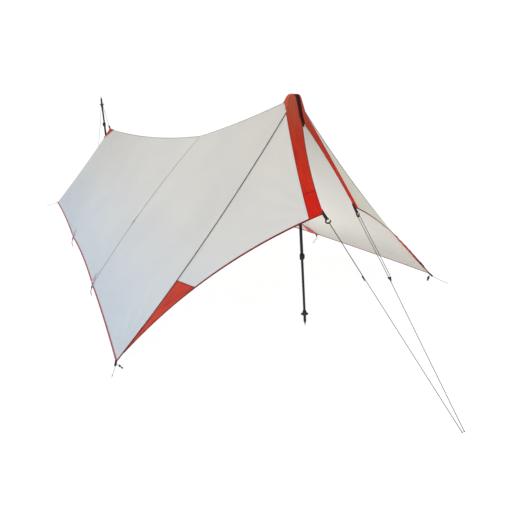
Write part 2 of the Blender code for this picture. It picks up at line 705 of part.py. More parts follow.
def ear_block(name, pivot_radius, height, thickness):
    """A rounded lug from inside the collar wall out to the pivot."""
    curve = bpy.data.curves.new(name + "_outline", "CURVE")
    curve.dimensions = "2D"
    curve.fill_mode = "BOTH"
    curve.extrude = thickness * 0.5
    inner = LOCK_RADIUS - 0.0016
    outline = [(inner, -EAR_RADIUS * 0.9)]
    for step in range(7):
        angle = math.radians(-90 + step * 30)
        outline.append((pivot_radius + EAR_RADIUS * 0.9 * math.cos(angle),
                        EAR_RADIUS * 0.9 * math.sin(angle)))
    outline.append((inner, EAR_RADIUS * 0.9))
    spline = curve.splines.new("POLY")
    spline.points.add(len(outline) - 1)
    for slot, (x, y) in zip(spline.points, outline):
        slot.co = (x, y, 0.0, 1.0)
    spline.use_cyclic_u = True
    flat = bpy.data.objects.new(name + "_curve", curve)
    PARTS.objects.link(flat)
    bpy.context.view_layer.update()
    solid = bpy.data.meshes.new_from_object(flat.evaluated_get(bpy.context.evaluated_depsgraph_get()))
    bpy.data.objects.remove(flat)
    weld = bmesh.new()
    weld.from_mesh(solid)
    bmesh.ops.remove_doubles(weld, verts=weld.verts[:], dist=0.00001)
    weld.to_mesh(solid)
    weld.free()
    ear = bpy.data.objects.new(name, solid)
    CUTTERS.objects.link(ear)
    ear.hide_render = True
    ear.display_type = "WIRE"
    ear.matrix_world = Matrix.Translation((0.0, 0.0, height))
    return ear


def build_lever(name, pivot_radius, place):
    """Seen from above: a barrel on the pin and an arc that wraps round the collar."""
    inner = LOCK_RADIUS + FIT_GAP
    outer = inner + LEVER_THICKNESS
    barrel = LEVER_BARREL_RADIUS
    first = math.asin((barrel * 0.55) / inner)
    outline = []
    for step in range(15):
        angle = first + (LEVER_SWEEP - first) * step / 14
        outline.append((inner * math.cos(angle), inner * math.sin(angle)))
    outline.reverse()
    for step in range(7):
        angle = math.radians(210 + step * 35)
        outline.append((pivot_radius + barrel * math.cos(angle), barrel * math.sin(angle)))
    for step in range(15):
        angle = first * 2.6 + (LEVER_SWEEP - first * 2.6) * step / 14
        flare = 0.0018 * max(0.0, (step - 10) / 4) ** 2
        outline.append(((outer + flare) * math.cos(angle), (outer + flare) * math.sin(angle)))
    hole = circle(pivot_radius, 0.0, PIN_RADIUS + FIT_GAP, 12)
    outline_plate(name, [outline, hole], LEVER_HEIGHT, "black plastic", place)


def build_pole(prefix, foot, upside_down, length, locks, side_angle):
    """Grip, three tubes, two clamp locks with levers, basket and tip."""
    place = pole_frame(foot, upside_down)
    lower_lock, upper_lock = locks
    half_lock = LOCK_HEIGHT * 0.5
    tube_top = length - GRIP_CAP - FIT_GAP
    middle_bottom = lower_lock - half_lock + 0.004
    upper_bottom = upper_lock - half_lock + 0.004
    turned(f"{prefix}_lower_tube",
           tube_profile(LOWER_TUBE_RADIUS, LOWER_TUBE_WALL, TIP_LENGTH + FIT_GAP, lower_lock + TUBE_INSERT),
           "black anodised", place)
    turned(f"{prefix}_middle_tube",
           tube_profile(MIDDLE_TUBE_RADIUS, MIDDLE_TUBE_WALL, middle_bottom, upper_lock + TUBE_INSERT),
           "black anodised", place)
    turned(f"{prefix}_upper_tube",
           tube_profile(UPPER_TUBE_RADIUS, UPPER_TUBE_WALL, upper_bottom, tube_top),
           "black anodised", place)
    build_lock(prefix, "lower", lower_lock, MIDDLE_TUBE_RADIUS + FIT_GAP, place, side_angle)
    build_lock(prefix, "upper", upper_lock, UPPER_TUBE_RADIUS + FIT_GAP, place, side_angle)
    build_grip(prefix, length, place)
    build_tip(prefix, place)


def build_grip(prefix, length, place):
    """A palm swell, a waist and a domed top with a flat face, bored for the tube."""
    bottom = length - GRIP_LENGTH
    bore = UPPER_TUBE_RADIUS + FIT_GAP
    swell = 0.0014
    outer = [(GRIP_FACE_RADIUS, length)]
    for step in range(1, 4):
        angle = math.radians(90 - step * 30)
        outer.append((GRIP_FACE_RADIUS + (GRIP_RADIUS - GRIP_FACE_RADIUS) * math.cos(angle),
                      length - 0.009 + 0.009 * math.sin(angle)))
    for share in (0.15, 0.3, 0.45, 0.6, 0.75, 0.88):
        outer.append((GRIP_RADIUS - swell * (1.0 - math.cos(share * 4.0 * math.pi)) - 0.002 * share,
                      length - 0.009 - (GRIP_LENGTH - 0.013) * share))
    outer += [(GRIP_RADIUS - 0.0030, bottom + 0.004), (GRIP_RADIUS - 0.0045, bottom)]
    profile = [(0.0, length), *outer, (bore, bottom), (bore, length - GRIP_CAP), (0.0, length - GRIP_CAP)]
    turned(f"{prefix}_grip", profile, "grip foam", place)


def build_tip(prefix, place):
    """A plastic ferrule that tapers to a short steel point, and the scalloped basket round it."""
    shoulder = 0.030
    neck = 0.014
    profile = [(0.0, TIP_LENGTH), (FERRULE_RADIUS, TIP_LENGTH), (FERRULE_RADIUS, shoulder),
               (0.0042, neck), (TIP_END_RADIUS + 0.0004, neck - 0.0008), (TIP_END_RADIUS, 0.0),
               (0.0, 0.0)]
    turned(f"{prefix}_tip", profile, "steel", place, 16)
    count = BASKET_SCALLOPS * 4
    rim = []
    for step in range(count):
        angle = 2.0 * math.pi * step / count
        radius = BASKET_RADIUS - BASKET_SCALLOP * (0.5 - 0.5 * math.cos(BASKET_SCALLOPS * angle))
        rim.append((radius * math.cos(angle), radius * math.sin(angle)))
    hole = circle(0.0, 0.0, FERRULE_RADIUS + FIT_GAP, 24)
    outline_plate(f"{prefix}_basket", [rim, hole], BASKET_THICKNESS, "black plastic",
                  place @ Matrix.Translation((0.0, 0.0, BASKET_HEIGHT)))


def build_poles():
    shoulder_drop = GRIP_RADIUS * PEAK_HEIGHT / FRONT_HALF_WIDTH
    front_length = PEAK_HEIGHT - shoulder_drop - PEAK_GAP
    build_pole("front_pole", Vector(), False, front_length, FRONT_LOCKS, math.radians(200))
    rear_top = Vector((0.0, REAR_POLE_STATION, REAR_POLE_HEIGHT))
    build_pole("rear_pole", rear_top, True, REAR_POLE_HEIGHT, REAR_LOCKS, math.radians(160))


# ---------------------------------------------------------------- build

clear_scene()
PARTS = new_collection("tarp_shelter")
CUTTERS = new_collection("cutters", hidden=True)
build_walls()
build_wings()
build_patches()
build_tabs()
build_guylines()
build_ground_cords()
build_rear_cords()
build_poles()
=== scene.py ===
"""Tapered ridge tarp of coated cloth on two trekking poles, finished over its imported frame.

Metres, +Z up. The front pole stands on the origin, the doors open towards -Y and the ridge runs
back along +Y. The left side is laid out and the right side mirrors it.
"""

import logging
import math
from dataclasses import dataclass, field
from enum import Enum
from typing import Callable, Iterable, Sequence

import bmesh
import bpy
from mathutils import Matrix, Vector


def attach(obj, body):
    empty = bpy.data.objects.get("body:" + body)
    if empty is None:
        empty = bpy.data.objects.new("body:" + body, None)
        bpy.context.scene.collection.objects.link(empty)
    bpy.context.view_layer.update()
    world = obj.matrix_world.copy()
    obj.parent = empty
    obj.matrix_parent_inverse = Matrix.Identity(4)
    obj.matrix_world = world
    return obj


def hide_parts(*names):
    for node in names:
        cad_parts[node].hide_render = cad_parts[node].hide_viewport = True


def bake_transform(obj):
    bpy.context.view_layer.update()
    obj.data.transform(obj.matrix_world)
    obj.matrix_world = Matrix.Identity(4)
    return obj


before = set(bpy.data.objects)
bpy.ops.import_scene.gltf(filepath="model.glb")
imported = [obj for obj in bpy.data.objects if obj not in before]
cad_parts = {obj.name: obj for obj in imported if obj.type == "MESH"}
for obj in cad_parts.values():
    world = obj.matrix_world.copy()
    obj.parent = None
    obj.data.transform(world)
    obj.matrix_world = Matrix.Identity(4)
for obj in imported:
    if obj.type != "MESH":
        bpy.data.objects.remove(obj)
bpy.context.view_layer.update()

LOG = logging.getLogger("shelter")
UP = Vector((0.0, 0.0, 1.0))
Curve = Callable[[float], Vector]
Surface = Callable[[float, float], Vector]
Station = tuple[Vector, Vector, Vector]
Profile = Sequence[tuple[float, float]]


class Side(Enum):
    """Left and right of the ridge; the value is the sign of X."""

    LEFT = -1
    RIGHT = 1

    @property
    def word(self) -> str:
        """The side's name as pieces use it."""
        return self.name.lower()

    @property
    def wing(self) -> str:
        """The body that the side's door wing rides on."""
        return f"{self.word}_door_wing"

    def place(self, point: Vector) -> Vector:
        """A left-hand point carried to this side."""
        return Vector((point.x * -self.value, point.y, point.z))

    def pick(self, pair: tuple[object, object]) -> object:
        """The left or the right one of a pair."""
        return pair[self is Side.RIGHT]


# ------------------------------------------------------------------ finishes

class Shader:
    """A node material while it is being put together."""

    def __init__(self, name: str) -> None:
        """Start from Blender's own principled shader."""
        self.material = bpy.data.materials.new(name)
        self.material.use_nodes = True
        self.tree = self.material.node_tree
        self.base = self.tree.nodes["Principled BSDF"]
        self.output = self.tree.nodes["Material Output"]

    def add(self, kind: str, **settings: object) -> bpy.types.Node:
        """Add a node.

        Args:
            kind: Node type.
            settings: Node properties by name.

        Returns:
            The node.
        """
        node = self.tree.nodes.new(kind)
        for name, value in settings.items():
            setattr(node, name, value)
        return node

    def join(self, source: bpy.types.NodeSocket, target: bpy.types.NodeSocket) -> None:
        """Link two sockets."""
        self.tree.links.new(source, target)

    def coordinates(self, kind: str, scale: Sequence[float] = (1.0, 1.0, 1.0)) -> bpy.types.NodeSocket:
        """Object or UV coordinates, stretched by scale.

        Args:
            kind: "Object" or "UV".
            scale: Factor on each axis.

        Returns:
            The vector socket.
        """
        source = self.add("ShaderNodeTexCoord")
        mapping = self.add("ShaderNodeMapping")
        mapping.inputs["Scale"].default_value = scale
        self.join(source.outputs[kind], mapping.inputs["Vector"])
        return mapping.outputs["Vector"]

    def math(self, operation: str, first: object, second: object = None) -> bpy.types.NodeSocket:
        """A math node on sockets or numbers.

        Args:
            operation: Blender's name for the operation.
            first: Socket or number.
            second: Socket or number, where the operation takes two.

        Returns:
            The value socket.
        """
        node = self.add("ShaderNodeMath", operation=operation)
        for slot, value in enumerate((first, second)):
            if isinstance(value, bpy.types.NodeSocket):
                self.join(value, node.inputs[slot])
            elif value is not None:
                node.inputs[slot].default_value = value
        return node.outputs[0]

    def noise(self, coords: bpy.types.NodeSocket, scale: float, detail: float = 3.0) -> bpy.types.NodeSocket:
        """A noise factor.

        Args:
            coords: Vector socket.
            scale: Noise scale.
            detail: Octaves.

        Returns:
            The factor socket.
        """
        node = self.add("ShaderNodeTexNoise")
        node.inputs["Scale"].default_value = scale
        node.inputs["Detail"].default_value = detail
        self.join(coords, node.inputs["Vector"])
        return node.outputs["Fac"]

    def ramp(self, factor: bpy.types.NodeSocket, stops: Sequence[tuple[float, Sequence[float]]],
             smooth: bool = False) -> bpy.types.NodeSocket:
        """A colour ramp.

        Args:
            factor: Value socket.
            stops: Position and RGB of each stop.
            smooth: Ease between stops.

        Returns:
            The colour socket.
        """
        node = self.add("ShaderNodeValToRGB")
        if smooth:
            node.color_ramp.interpolation = "EASE"
        held = node.color_ramp.elements
        while len(held) < len(stops):
            held.new(0.5)
        for element, (position, colour) in zip(held, stops):
            element.position = position
            element.color = (*colour, 1.0)
        self.join(factor, node.inputs["Fac"])
        return node.outputs["Color"]

    def blend(self, factor: object, first: object, second: object, mode: str = "MIX") -> bpy.types.NodeSocket:
        """Mix two colours.

        Args:
            factor: Socket or number.
            first: Socket or RGB.
            second: Socket or RGB.
            mode: Blend type.

        Returns:
            The colour socket.
        """
        node = self.add("ShaderNodeMix", data_type="RGBA", blend_type=mode)
        for name, value in (("Factor", factor), ("A", first), ("B", second)):
            socket = next(s for s in node.inputs if s.name == name and s.enabled)
            if isinstance(value, bpy.types.NodeSocket):
                self.join(value, socket)
            else:
                socket.default_value = value if name == "Factor" else (*value, 1.0)
        return next(s for s in node.outputs if s.enabled)

    def bump(self, height: bpy.types.NodeSocket, strength: float, distance: float,
             under: bpy.types.NodeSocket | None = None) -> bpy.types.NodeSocket:
        """A bump node.

        Args:
            height: Height socket.
            strength: Bump strength.
            distance: Depth in metres.
            under: Normal to build on.

        Returns:
            The normal socket.
        """
        node = self.add("ShaderNodeBump")
        node.inputs["Strength"].default_value = strength
        node.inputs["Distance"].default_value = distance
        self.join(height, node.inputs["Height"])
        if under is not None:
            self.join(under, node.inputs["Normal"])
        return node.outputs["Normal"]

    def lines(self, coord: bpy.types.NodeSocket, pitch: float, width: float) -> bpy.types.NodeSocket:
        """A mask of thin lines across one coordinate.

        Args:
            coord: Coordinate in metres.
            pitch: Distance between lines.
            width: Line width.

        Returns:
            1 on a line and 0 beside it.
        """
        share = self.math("FRACT", self.math("DIVIDE", coord, pitch))
        return self.math("LESS_THAN", self.math("ABSOLUTE", self.math("SUBTRACT", share, 0.5)),
                         0.5 * width / pitch)

    def split(self, vector: bpy.types.NodeSocket) -> Sequence[bpy.types.NodeSocket]:
        """The X, Y and Z sockets of a vector."""
        node = self.add("ShaderNodeSeparateXYZ")
        self.join(vector, node.inputs[0])
        return node.outputs

    def constant(self, **values: object) -> None:
        """Set the principled shader's own sockets, spaces written as underscores."""
        for name, value in values.items():
            self.base.inputs[name.replace("_", " ")].default_value = value


@dataclass(frozen=True)
class ClothFinish:
    """Coated ripstop cloth, toned from its low edge to its top by a ramp of painted light and shade.

    Attributes:
        name: Material name.
        stops: Height along Z in metres and the RGB there, low to high; where they differ, the ramp is painted light and
            shade.
        roughness: Surface roughness.
        glow: Share of light that the cloth passes.
        crumple: Depth of the soft crumple in metres.
        pitch: Spacing of the ripstop grid.
        specular: Strength of the surface reflection.
        crease_shade: Depth of the painted crease shade, dark streaks that stand in for the shade in the folds.
        drawn: Scale of the painted crease shade along each UV axis.
    """

    name: str
    stops: tuple[tuple[float, tuple[float, float, float]], ...]
    roughness: float = 0.5
    glow: float = 0.25
    crumple: float = 0.0012
    pitch: float = 0.005
    specular: float = 0.30
    crease_shade: float = 0.0
    drawn: tuple[float, float, float] = (150.0, 9.0, 1.0)

    def make(self) -> bpy.types.Material:
        """Build the material."""
        shader = Shader(self.name)
        place = shader.coordinates("Object")
        height = shader.split(place)[2]
        low, high = self.stops[0][0], self.stops[-1][0]
        share = shader.math("DIVIDE", shader.math("SUBTRACT", height, low), high - low)
        # Painted light and shade: the colour follows height and stands in for how the light falls on the cloth.
        tone = shader.ramp(share, [((z - low) / (high - low), rgb) for z, rgb in self.stops])
        cloudy = shader.noise(place, 3.2, 2.0)
        shade = shader.ramp(cloudy, ((0.3, (0.955, 0.955, 0.965)), (0.7, (1.0, 1.0, 0.99))))
        tone = shader.blend(1.0, tone, shade, "MULTIPLY")
        # Painted crease shade: dark streaks along the cloth stand in for the shade in its folds.
        if self.crease_shade:
            drawn = shader.noise(shader.coordinates("UV", self.drawn), 1.0, 3.0)
            dark = 1.0 - self.crease_shade
            tone = shader.blend(1.0, tone, shader.ramp(drawn, ((0.35, (dark, dark, dark)), (0.62, (1.0,) * 3))),
                                "MULTIPLY")
        laid = shader.split(shader.coordinates("UV"))
        grid = shader.math("MAXIMUM", shader.lines(laid[0], self.pitch, 0.0005),
                           shader.lines(laid[1], self.pitch, 0.0005))
        tone = shader.blend(shader.math("MULTIPLY", grid, 0.35), tone,
                            shader.blend(1.0, tone, (0.86, 0.86, 0.87), "MULTIPLY"))
        weave = shader.noise(shader.coordinates("UV", (1.0, 6.0, 1.0)), 900.0, 1.0)
        soft = shader.bump(shader.noise(place, 14.0, 3.0), 0.5, self.crumple)
        fine = shader.bump(shader.math("ADD", grid, shader.math("MULTIPLY", weave, 0.4)), 0.25, 0.0002, soft)
        shader.join(tone, shader.base.inputs["Base Color"])
        shader.join(fine, shader.base.inputs["Normal"])
        dull = shader.ramp(cloudy, ((0.2, (self.roughness - 0.05,) * 3), (0.8, (self.roughness + 0.06,) * 3)))
        shader.join(dull, shader.base.inputs["Roughness"])
        shader.constant(Specular_IOR_Level=self.specular)
        through = shader.add("ShaderNodeBsdfTranslucent")
        shader.join(tone, through.inputs["Color"])
        shader.join(soft, through.inputs["Normal"])
        both = shader.add("ShaderNodeMixShader")
        both.inputs[0].default_value = self.glow
        shader.join(shader.base.outputs[0], both.inputs[1])
        shader.join(through.outputs[0], both.inputs[2])
        shader.join(both.outputs[0], shader.output.inputs["Surface"])
        return shader.material


@dataclass(frozen=True)
class TapeFinish:
    """Sewn tape, binding or webbing with a woven rib and rows of stitches.

    Attributes:
        name: Material name.
        colour: Tape colour.
        thread: Stitch colour.
        rows: Places of the stitch rows across the tape, in metres.
        rib: Pitch of the woven rib.
        relief: Depth of the rib.
        roughness: Surface roughness.
        specular: Strength of the surface reflection.
    """

    name: str
    colour: tuple[float, float, float]
    thread: tuple[float, float, float]
    rows: tuple[float, ...] = (0.0,)
    rib: float = 0.0012
    relief: float = 0.0002
    roughness: float = 0.75
    specular: float = 0.08

    def make(self) -> bpy.types.Material:
        """Build the material."""
        shader = Shader(self.name)
        along, across, _ = shader.split(shader.coordinates("UV"))
        ribs = shader.math("SINE", shader.math("MULTIPLY", along, 2.0 * math.pi / self.rib))
        cross = shader.math("SINE", shader.math("MULTIPLY", across, 2.0 * math.pi / (self.rib * 0.8)))
        weave = shader.math("MULTIPLY", ribs, cross)
        stitch = None
        for row in self.rows:
            near = shader.math("LESS_THAN", shader.math("ABSOLUTE", shader.math("SUBTRACT", across, row)), 0.00035)
            stitch = near if stitch is None else shader.math("MAXIMUM", stitch, near)
        dash = shader.lines(along, 0.0032, 0.0023)
        stitch = shader.math("MULTIPLY", stitch, dash)
        worn = shader.noise(shader.coordinates("Object"), 40.0, 4.0)
        tone = shader.ramp(worn, ((0.25, tuple(c * 0.82 for c in self.colour)),
                                  (0.75, tuple(min(1.0, c * 1.12) for c in self.colour))))
        tone = shader.blend(stitch, tone, self.thread)
        relief = shader.math("ADD", shader.math("MULTIPLY", weave, 0.3), shader.math("MULTIPLY", stitch, 1.5))
        shader.join(tone, shader.base.inputs["Base Color"])
        shader.join(shader.bump(relief, 0.6, self.relief), shader.base.inputs["Normal"])
        shader.constant(Roughness=self.roughness, Specular_IOR_Level=self.specular)
        return shader.material


@dataclass(frozen=True)
class CordFinish:
    """Braided cord with a tracer fleck.

    Attributes:
        name: Material name.
        colour: Body of the braid.
        tracer: Fleck colour.
        pick: Length of one braid crossing.
    """

    name: str
    colour: tuple[float, float, float]
    tracer: tuple[float, float, float]
    pick: float = 0.0022

    def make(self) -> bpy.types.Material:
        """Build the material."""
        shader = Shader(self.name)
        along, around, _ = shader.split(shader.coordinates("UV"))
        turn = shader.math("MULTIPLY", around, 3.0)
        run = shader.math("DIVIDE", along, self.pick)
        left = shader.math("SINE", shader.math("MULTIPLY", shader.math("ADD", run, turn), 2.0 * math.pi))
        right = shader.math("SINE", shader.math("MULTIPLY", shader.math("SUBTRACT", run, turn), 2.0 * math.pi))
        braid = shader.math("MULTIPLY", left, right)
        fleck = shader.math("GREATER_THAN", shader.math("SINE", shader.math(
            "MULTIPLY", shader.math("ADD", shader.math("MULTIPLY", run, 0.25), around), 2.0 * math.pi)), 0.72)
        tone = shader.blend(fleck, self.colour, self.tracer)
        tone = shader.blend(shader.math("MULTIPLY", shader.math("ADD", braid, 1.0), 0.2), tone,
                            tuple(c * 0.6 for c in self.colour))
        shader.join(tone, shader.base.inputs["Base Color"])
        shader.join(shader.bump(braid, 0.5, 0.0003), shader.base.inputs["Normal"])
        shader.constant(Roughness=0.7)
        return shader.material


@dataclass(frozen=True)
class HardFinish:
    """Moulded plastic, foam, anodised tube or steel.

    Attributes:
        name: Material name.
        colour: Base colour.
        roughness: Mean roughness.
        metallic: 0 or 1.
        grain: Noise scale of the surface grain.
        relief: Depth of the grain in metres.
        stretch: Factor on each axis, for drawn or brushed grain.
        specular: Strength of the surface reflection.
    """

    name: str
    colour: tuple[float, float, float]
    roughness: float
    metallic: float = 0.0
    grain: float = 900.0
    relief: float = 0.00004
    stretch: tuple[float, float, float] = (1.0, 1.0, 1.0)
    specular: float = 0.18

    def make(self) -> bpy.types.Material:
        """Build the material."""
        shader = Shader(self.name)
        place = shader.coordinates("Object", self.stretch)
        grain = shader.noise(place, self.grain, 2.0)
        rubbed = shader.noise(shader.coordinates("Object"), 55.0, 4.0)
        tone = shader.ramp(rubbed, ((0.3, tuple(c * 0.8 for c in self.colour)),
                                    (0.72, tuple(min(1.0, c * 1.3 + 0.004) for c in self.colour))))
        rough = shader.ramp(rubbed, ((0.25, (self.roughness - 0.07,) * 3), (0.8, (self.roughness + 0.1,) * 3)))
        shader.join(tone, shader.base.inputs["Base Color"])
        shader.join(rough, shader.base.inputs["Roughness"])
        shader.join(shader.bump(grain, 0.5, self.relief), shader.base.inputs["Normal"])
        shader.constant(Metallic=self.metallic, Specular_IOR_Level=self.specular)
        return shader.material


@dataclass(frozen=True)
class FloorFinish:
    """Plain pale studio floor."""

    colour: tuple[float, float, float] = (0.10, 0.10, 0.10)
    glow: float = 0.93

    def make(self) -> bpy.types.Material:
        """Build the material."""
        shader = Shader("studio_floor")
        cloud = shader.noise(shader.coordinates("Object"), 0.6, 2.0)
        tone = shader.ramp(cloud, ((0.2, tuple(c * 0.99 for c in self.colour)), (0.8, self.colour)))
        shader.join(tone, shader.base.inputs["Base Color"])
        shader.constant(Roughness=0.95, Specular_IOR_Level=0.0, Emission_Color=(1.0, 1.0, 1.0, 1.0),
                        Emission_Strength=self.glow)
        return shader.material


class Finishes:
    """Every finish of the shelter, made once."""

    def __init__(self) -> None:
        """Make the materials."""
        # Painted light: one pale ripstop made as lit and shaded copies, the left side outside and the right side
        # inside, each toned by height to the light that falls on it.
        self.cloth = {
            Side.LEFT: ClothFinish("left_ripstop_painted_light", (
                (0.0, (0.560, 0.632, 0.690)), (0.25, (0.600, 0.640, 0.680)), (0.6, (0.640, 0.640, 0.625)),
                (1.0, (0.645, 0.630, 0.595)), (1.34, (0.630, 0.615, 0.560))), glow=0.35).make(),
            Side.RIGHT: ClothFinish("right_ripstop_painted_light", (
                (0.0, (0.700, 0.680, 0.630)), (0.35, (0.670, 0.650, 0.605)), (0.6, (0.650, 0.630, 0.590)),
                (1.0, (0.655, 0.640, 0.610)), (1.34, (0.655, 0.640, 0.610))), glow=0.4).make()}
        # Painted light: the right wing takes an olive, shaded copy of the pale ripstop; the left wing shares the left
        # side's copy.
        self.wing = {
            Side.LEFT: self.cloth[Side.LEFT],
            Side.RIGHT: ClothFinish("right_wing_ripstop", (
                (0.0, (0.640, 0.620, 0.560)), (0.5, (0.610, 0.595, 0.520)), (0.9, (0.580, 0.565, 0.470)),
                (1.34, (0.590, 0.575, 0.500))), glow=0.3).make()}
        # Painted light and shade: the red strip is toned bright at its foot and darker, browner towards the peak; its
        # streaks are painted crease shade.
        self.strip = ClothFinish("red_ripstop", (
            (0.78, (0.580, 0.024, 0.010)), (0.95, (0.560, 0.030, 0.012)), (1.12, (0.430, 0.032, 0.016)),
            (1.34, (0.400, 0.086, 0.046))), glow=0.25, roughness=0.7, specular=0.06, crease_shade=0.22).make()
        # Painted crease shade: the doubled foot's streaks darken it where its folds lie in shade.
        self.doubled = ClothFinish("doubled_red_ripstop", (
            (0.0, (0.560, 0.012, 0.006)), (1.34, (0.540, 0.014, 0.007))), glow=0.1, roughness=0.7,
            crumple=0.003, specular=0.06, crease_shade=0.25).make()
        # Painted crease shade: the corner's streaks darken its diagonal folds.
        self.corner = ClothFinish("corner_red_ripstop", (
            (0.0, (0.560, 0.070, 0.050)), (0.2, (0.590, 0.070, 0.048)), (0.5, (0.540, 0.060, 0.038))),
            glow=0.2, crumple=0.004, roughness=0.65, specular=0.08, crease_shade=0.35,
            drawn=(5.0, 85.0, 1.0)).make()
        # Painted highlight: the cap is toned lighter and pinker towards its top; its streaks are painted crease shade.
        self.cap = ClothFinish("peak_red_cloth", (
            (1.2, (0.400, 0.050, 0.026)), (1.34, (0.470, 0.076, 0.042))), glow=0.1, crumple=0.003,
            roughness=0.7, specular=0.08, crease_shade=0.18).make()
        # Painted light: the pale pink outer sheet stands in for the red doubler showing through the lit cloth.
        self.pink = ClothFinish("pale_pink_doubler", (
            (0.0, (0.530, 0.390, 0.450)), (1.34, (0.530, 0.390, 0.450))), glow=0.2, specular=0.1).make()
        self.inner_red = ClothFinish("inner_red_doubler", (
            (0.0, (0.620, 0.085, 0.050)), (1.34, (0.620, 0.085, 0.050))), glow=0.15, specular=0.08).make()
        # The side bindings are real; their darker, duller red is painted shade, as they are seen edge-on.
        self.binding = TapeFinish("red_binding", (0.300, 0.075, 0.100), (0.40, 0.08, 0.09), (0.004,)).make()
        # The door and strip bindings are real; their near-black red is painted shade of the folded edge.
        self.door_binding = TapeFinish("dark_red_binding_painted_shade", (0.150, 0.012, 0.013),
                                     (0.26, 0.03, 0.03), (0.003,)).make()
        self.pale_seam = TapeFinish("pale_seam", (0.250, 0.245, 0.235),
                                     (0.62, 0.60, 0.57), (-0.0018, 0.0018)).make()
        # Painted shade: the left front seam tape is toned near black for the shade along it; the same tape on the right
        # takes the pale ridge-tape colour.
        self.seam_tape_painted_shade = TapeFinish("seam_tape_painted_shade", (0.045, 0.046, 0.040),
                                     (0.30, 0.30, 0.28), (-0.0018, 0.0018)).make()
        self.white_hem = TapeFinish("white_hem", (0.700, 0.690, 0.670), (0.80, 0.79, 0.77), (0.003,)).make()
        self.ridge_tape = TapeFinish("ridge_tape", (0.380, 0.365, 0.330),
                                     (0.55, 0.53, 0.50), (-0.004, 0.004)).make()
        self.red_seam = TapeFinish("red_seam", (0.230, 0.014, 0.012), (0.40, 0.04, 0.03), (0.0,)).make()
        # Painted shade: a dark band stands in for the shadowed gap between the two strips at the peak.
        self.slit = TapeFinish("slit_gap_painted_shade", (0.026, 0.006, 0.005),
                                     (0.06, 0.02, 0.015), (-0.009, 0.009)).make()
        self.webbing = TapeFinish("black_webbing", (0.018, 0.018, 0.020), (0.05, 0.05, 0.055),
                                  (-0.0055, 0.0055), 0.0016, 0.0003).make()
        self.grey_webbing = TapeFinish("grey_webbing", (0.400, 0.380, 0.380), (0.38, 0.36, 0.35),
                                       (-0.003, 0.003), 0.0016, 0.0003).make()
        self.line = CordFinish("door_line_braid", (0.040, 0.028, 0.028), (0.15, 0.04, 0.035)).make()
        self.loop = CordFinish("fine_braid", (0.100, 0.104, 0.098), (0.05, 0.05, 0.05)).make()
        self.plastic = HardFinish("black_moulding", (0.012, 0.012, 0.013), 0.42).make()
        self.anodised = HardFinish("black_anodised", (0.010, 0.010, 0.011), 0.45, 0.0, 260.0, 0.00002,
                                   (1.0, 1.0, 0.03)).make()
        self.foam = HardFinish("grip_foam", (0.017, 0.017, 0.018), 0.86, 0.0, 1400.0, 0.00025).make()
        self.steel = HardFinish("tip_steel", (0.42, 0.42, 0.43), 0.32, 1.0, 500.0, 0.00003, (1.0, 1.0, 0.1)).make()


# ------------------------------------------------------------------ curves and surfaces

def bowed(start: Vector, end: Vector, bow: Vector) -> Curve:
    """A shallow parabola.

    Args:
        start: First point.
        end: Last point.
        bow: Offset from the chord at mid length.

    Returns:
        The curve over 0 to 1.
    """
    return lambda t: start.lerp(end, t) + bow * (4.0 * t * (1.0 - t))


def stretch_of(curve: Curve, first: float, last: float) -> Curve:
    """The part of a curve from first to last."""
    return lambda t: curve(first + (last - first) * t)


def joined(first: Curve, second: Curve, share: float) -> Curve:
    """Two curves end to end, the first taking share of the parameter."""
    return lambda t: first(t / share) if t <= share else second((t - share) / (1.0 - share))


def blended(top: Curve, bottom: Curve, start: Curve, end: Curve) -> Surface:
    """A Coons patch.

    Args:
        top: Edge over u at v 0.
        bottom: Edge over u at v 1.
        start: Edge over v at u 0.
        end: Edge over v at u 1.

    Returns:
        The surface over (u, v).
    """
    a, b, c, d = top(0.0), top(1.0), bottom(0.0), bottom(1.0)

    def surface(u: float, v: float) -> Vector:
        """Point of the patch."""
        ruled = top(u).lerp(bottom(u), v) + start(v).lerp(end(v), u)
        return ruled - a.lerp(b, u).lerp(c.lerp(d, u), v)

    return surface


def smooth_route(points: Sequence[Vector], spacing: float, most: int = 80) -> list[Vector]:
    """Points along one smooth curve through a route.

    Args:
        points: The route's own points.
        spacing: Closest distance between the new ones.
        most: Most steps between two of the route's points.

    Returns:
        The points.
    """
    padded = [points[0] * 2 - points[1], *points, points[-1] * 2 - points[-2]]
    route = []
    for before, start, end, after in zip(padded, padded[1:], padded[2:], padded[3:]):
        chord = end - start
        lead = ((start - before).normalized() + chord.normalized()).normalized() * chord.length
        trail = ((after - end).normalized() + chord.normalized()).normalized() * chord.length
        steps = min(most, max(3, round(chord.length / spacing)))
        for step in range(steps):
            t = step / steps
            route.append(start * (2 * t ** 3 - 3 * t ** 2 + 1) + lead * (t ** 3 - 2 * t ** 2 + t)
                         + end * (3 * t ** 2 - 2 * t ** 3) + trail * (t ** 3 - t ** 2))
    route.append(points[-1].copy())
    return route


def facing(origin: Vector, along: Vector, up: Vector) -> Matrix:
    """A frame whose X is along and whose Z leans towards up."""
    x_axis = along.normalized()
    z_axis = (up - x_axis * up.dot(x_axis)).normalized()
    y_axis = z_axis.cross(x_axis)
    return Matrix.Translation(origin) @ Matrix((x_axis, y_axis, z_axis)).transposed().to_4x4()


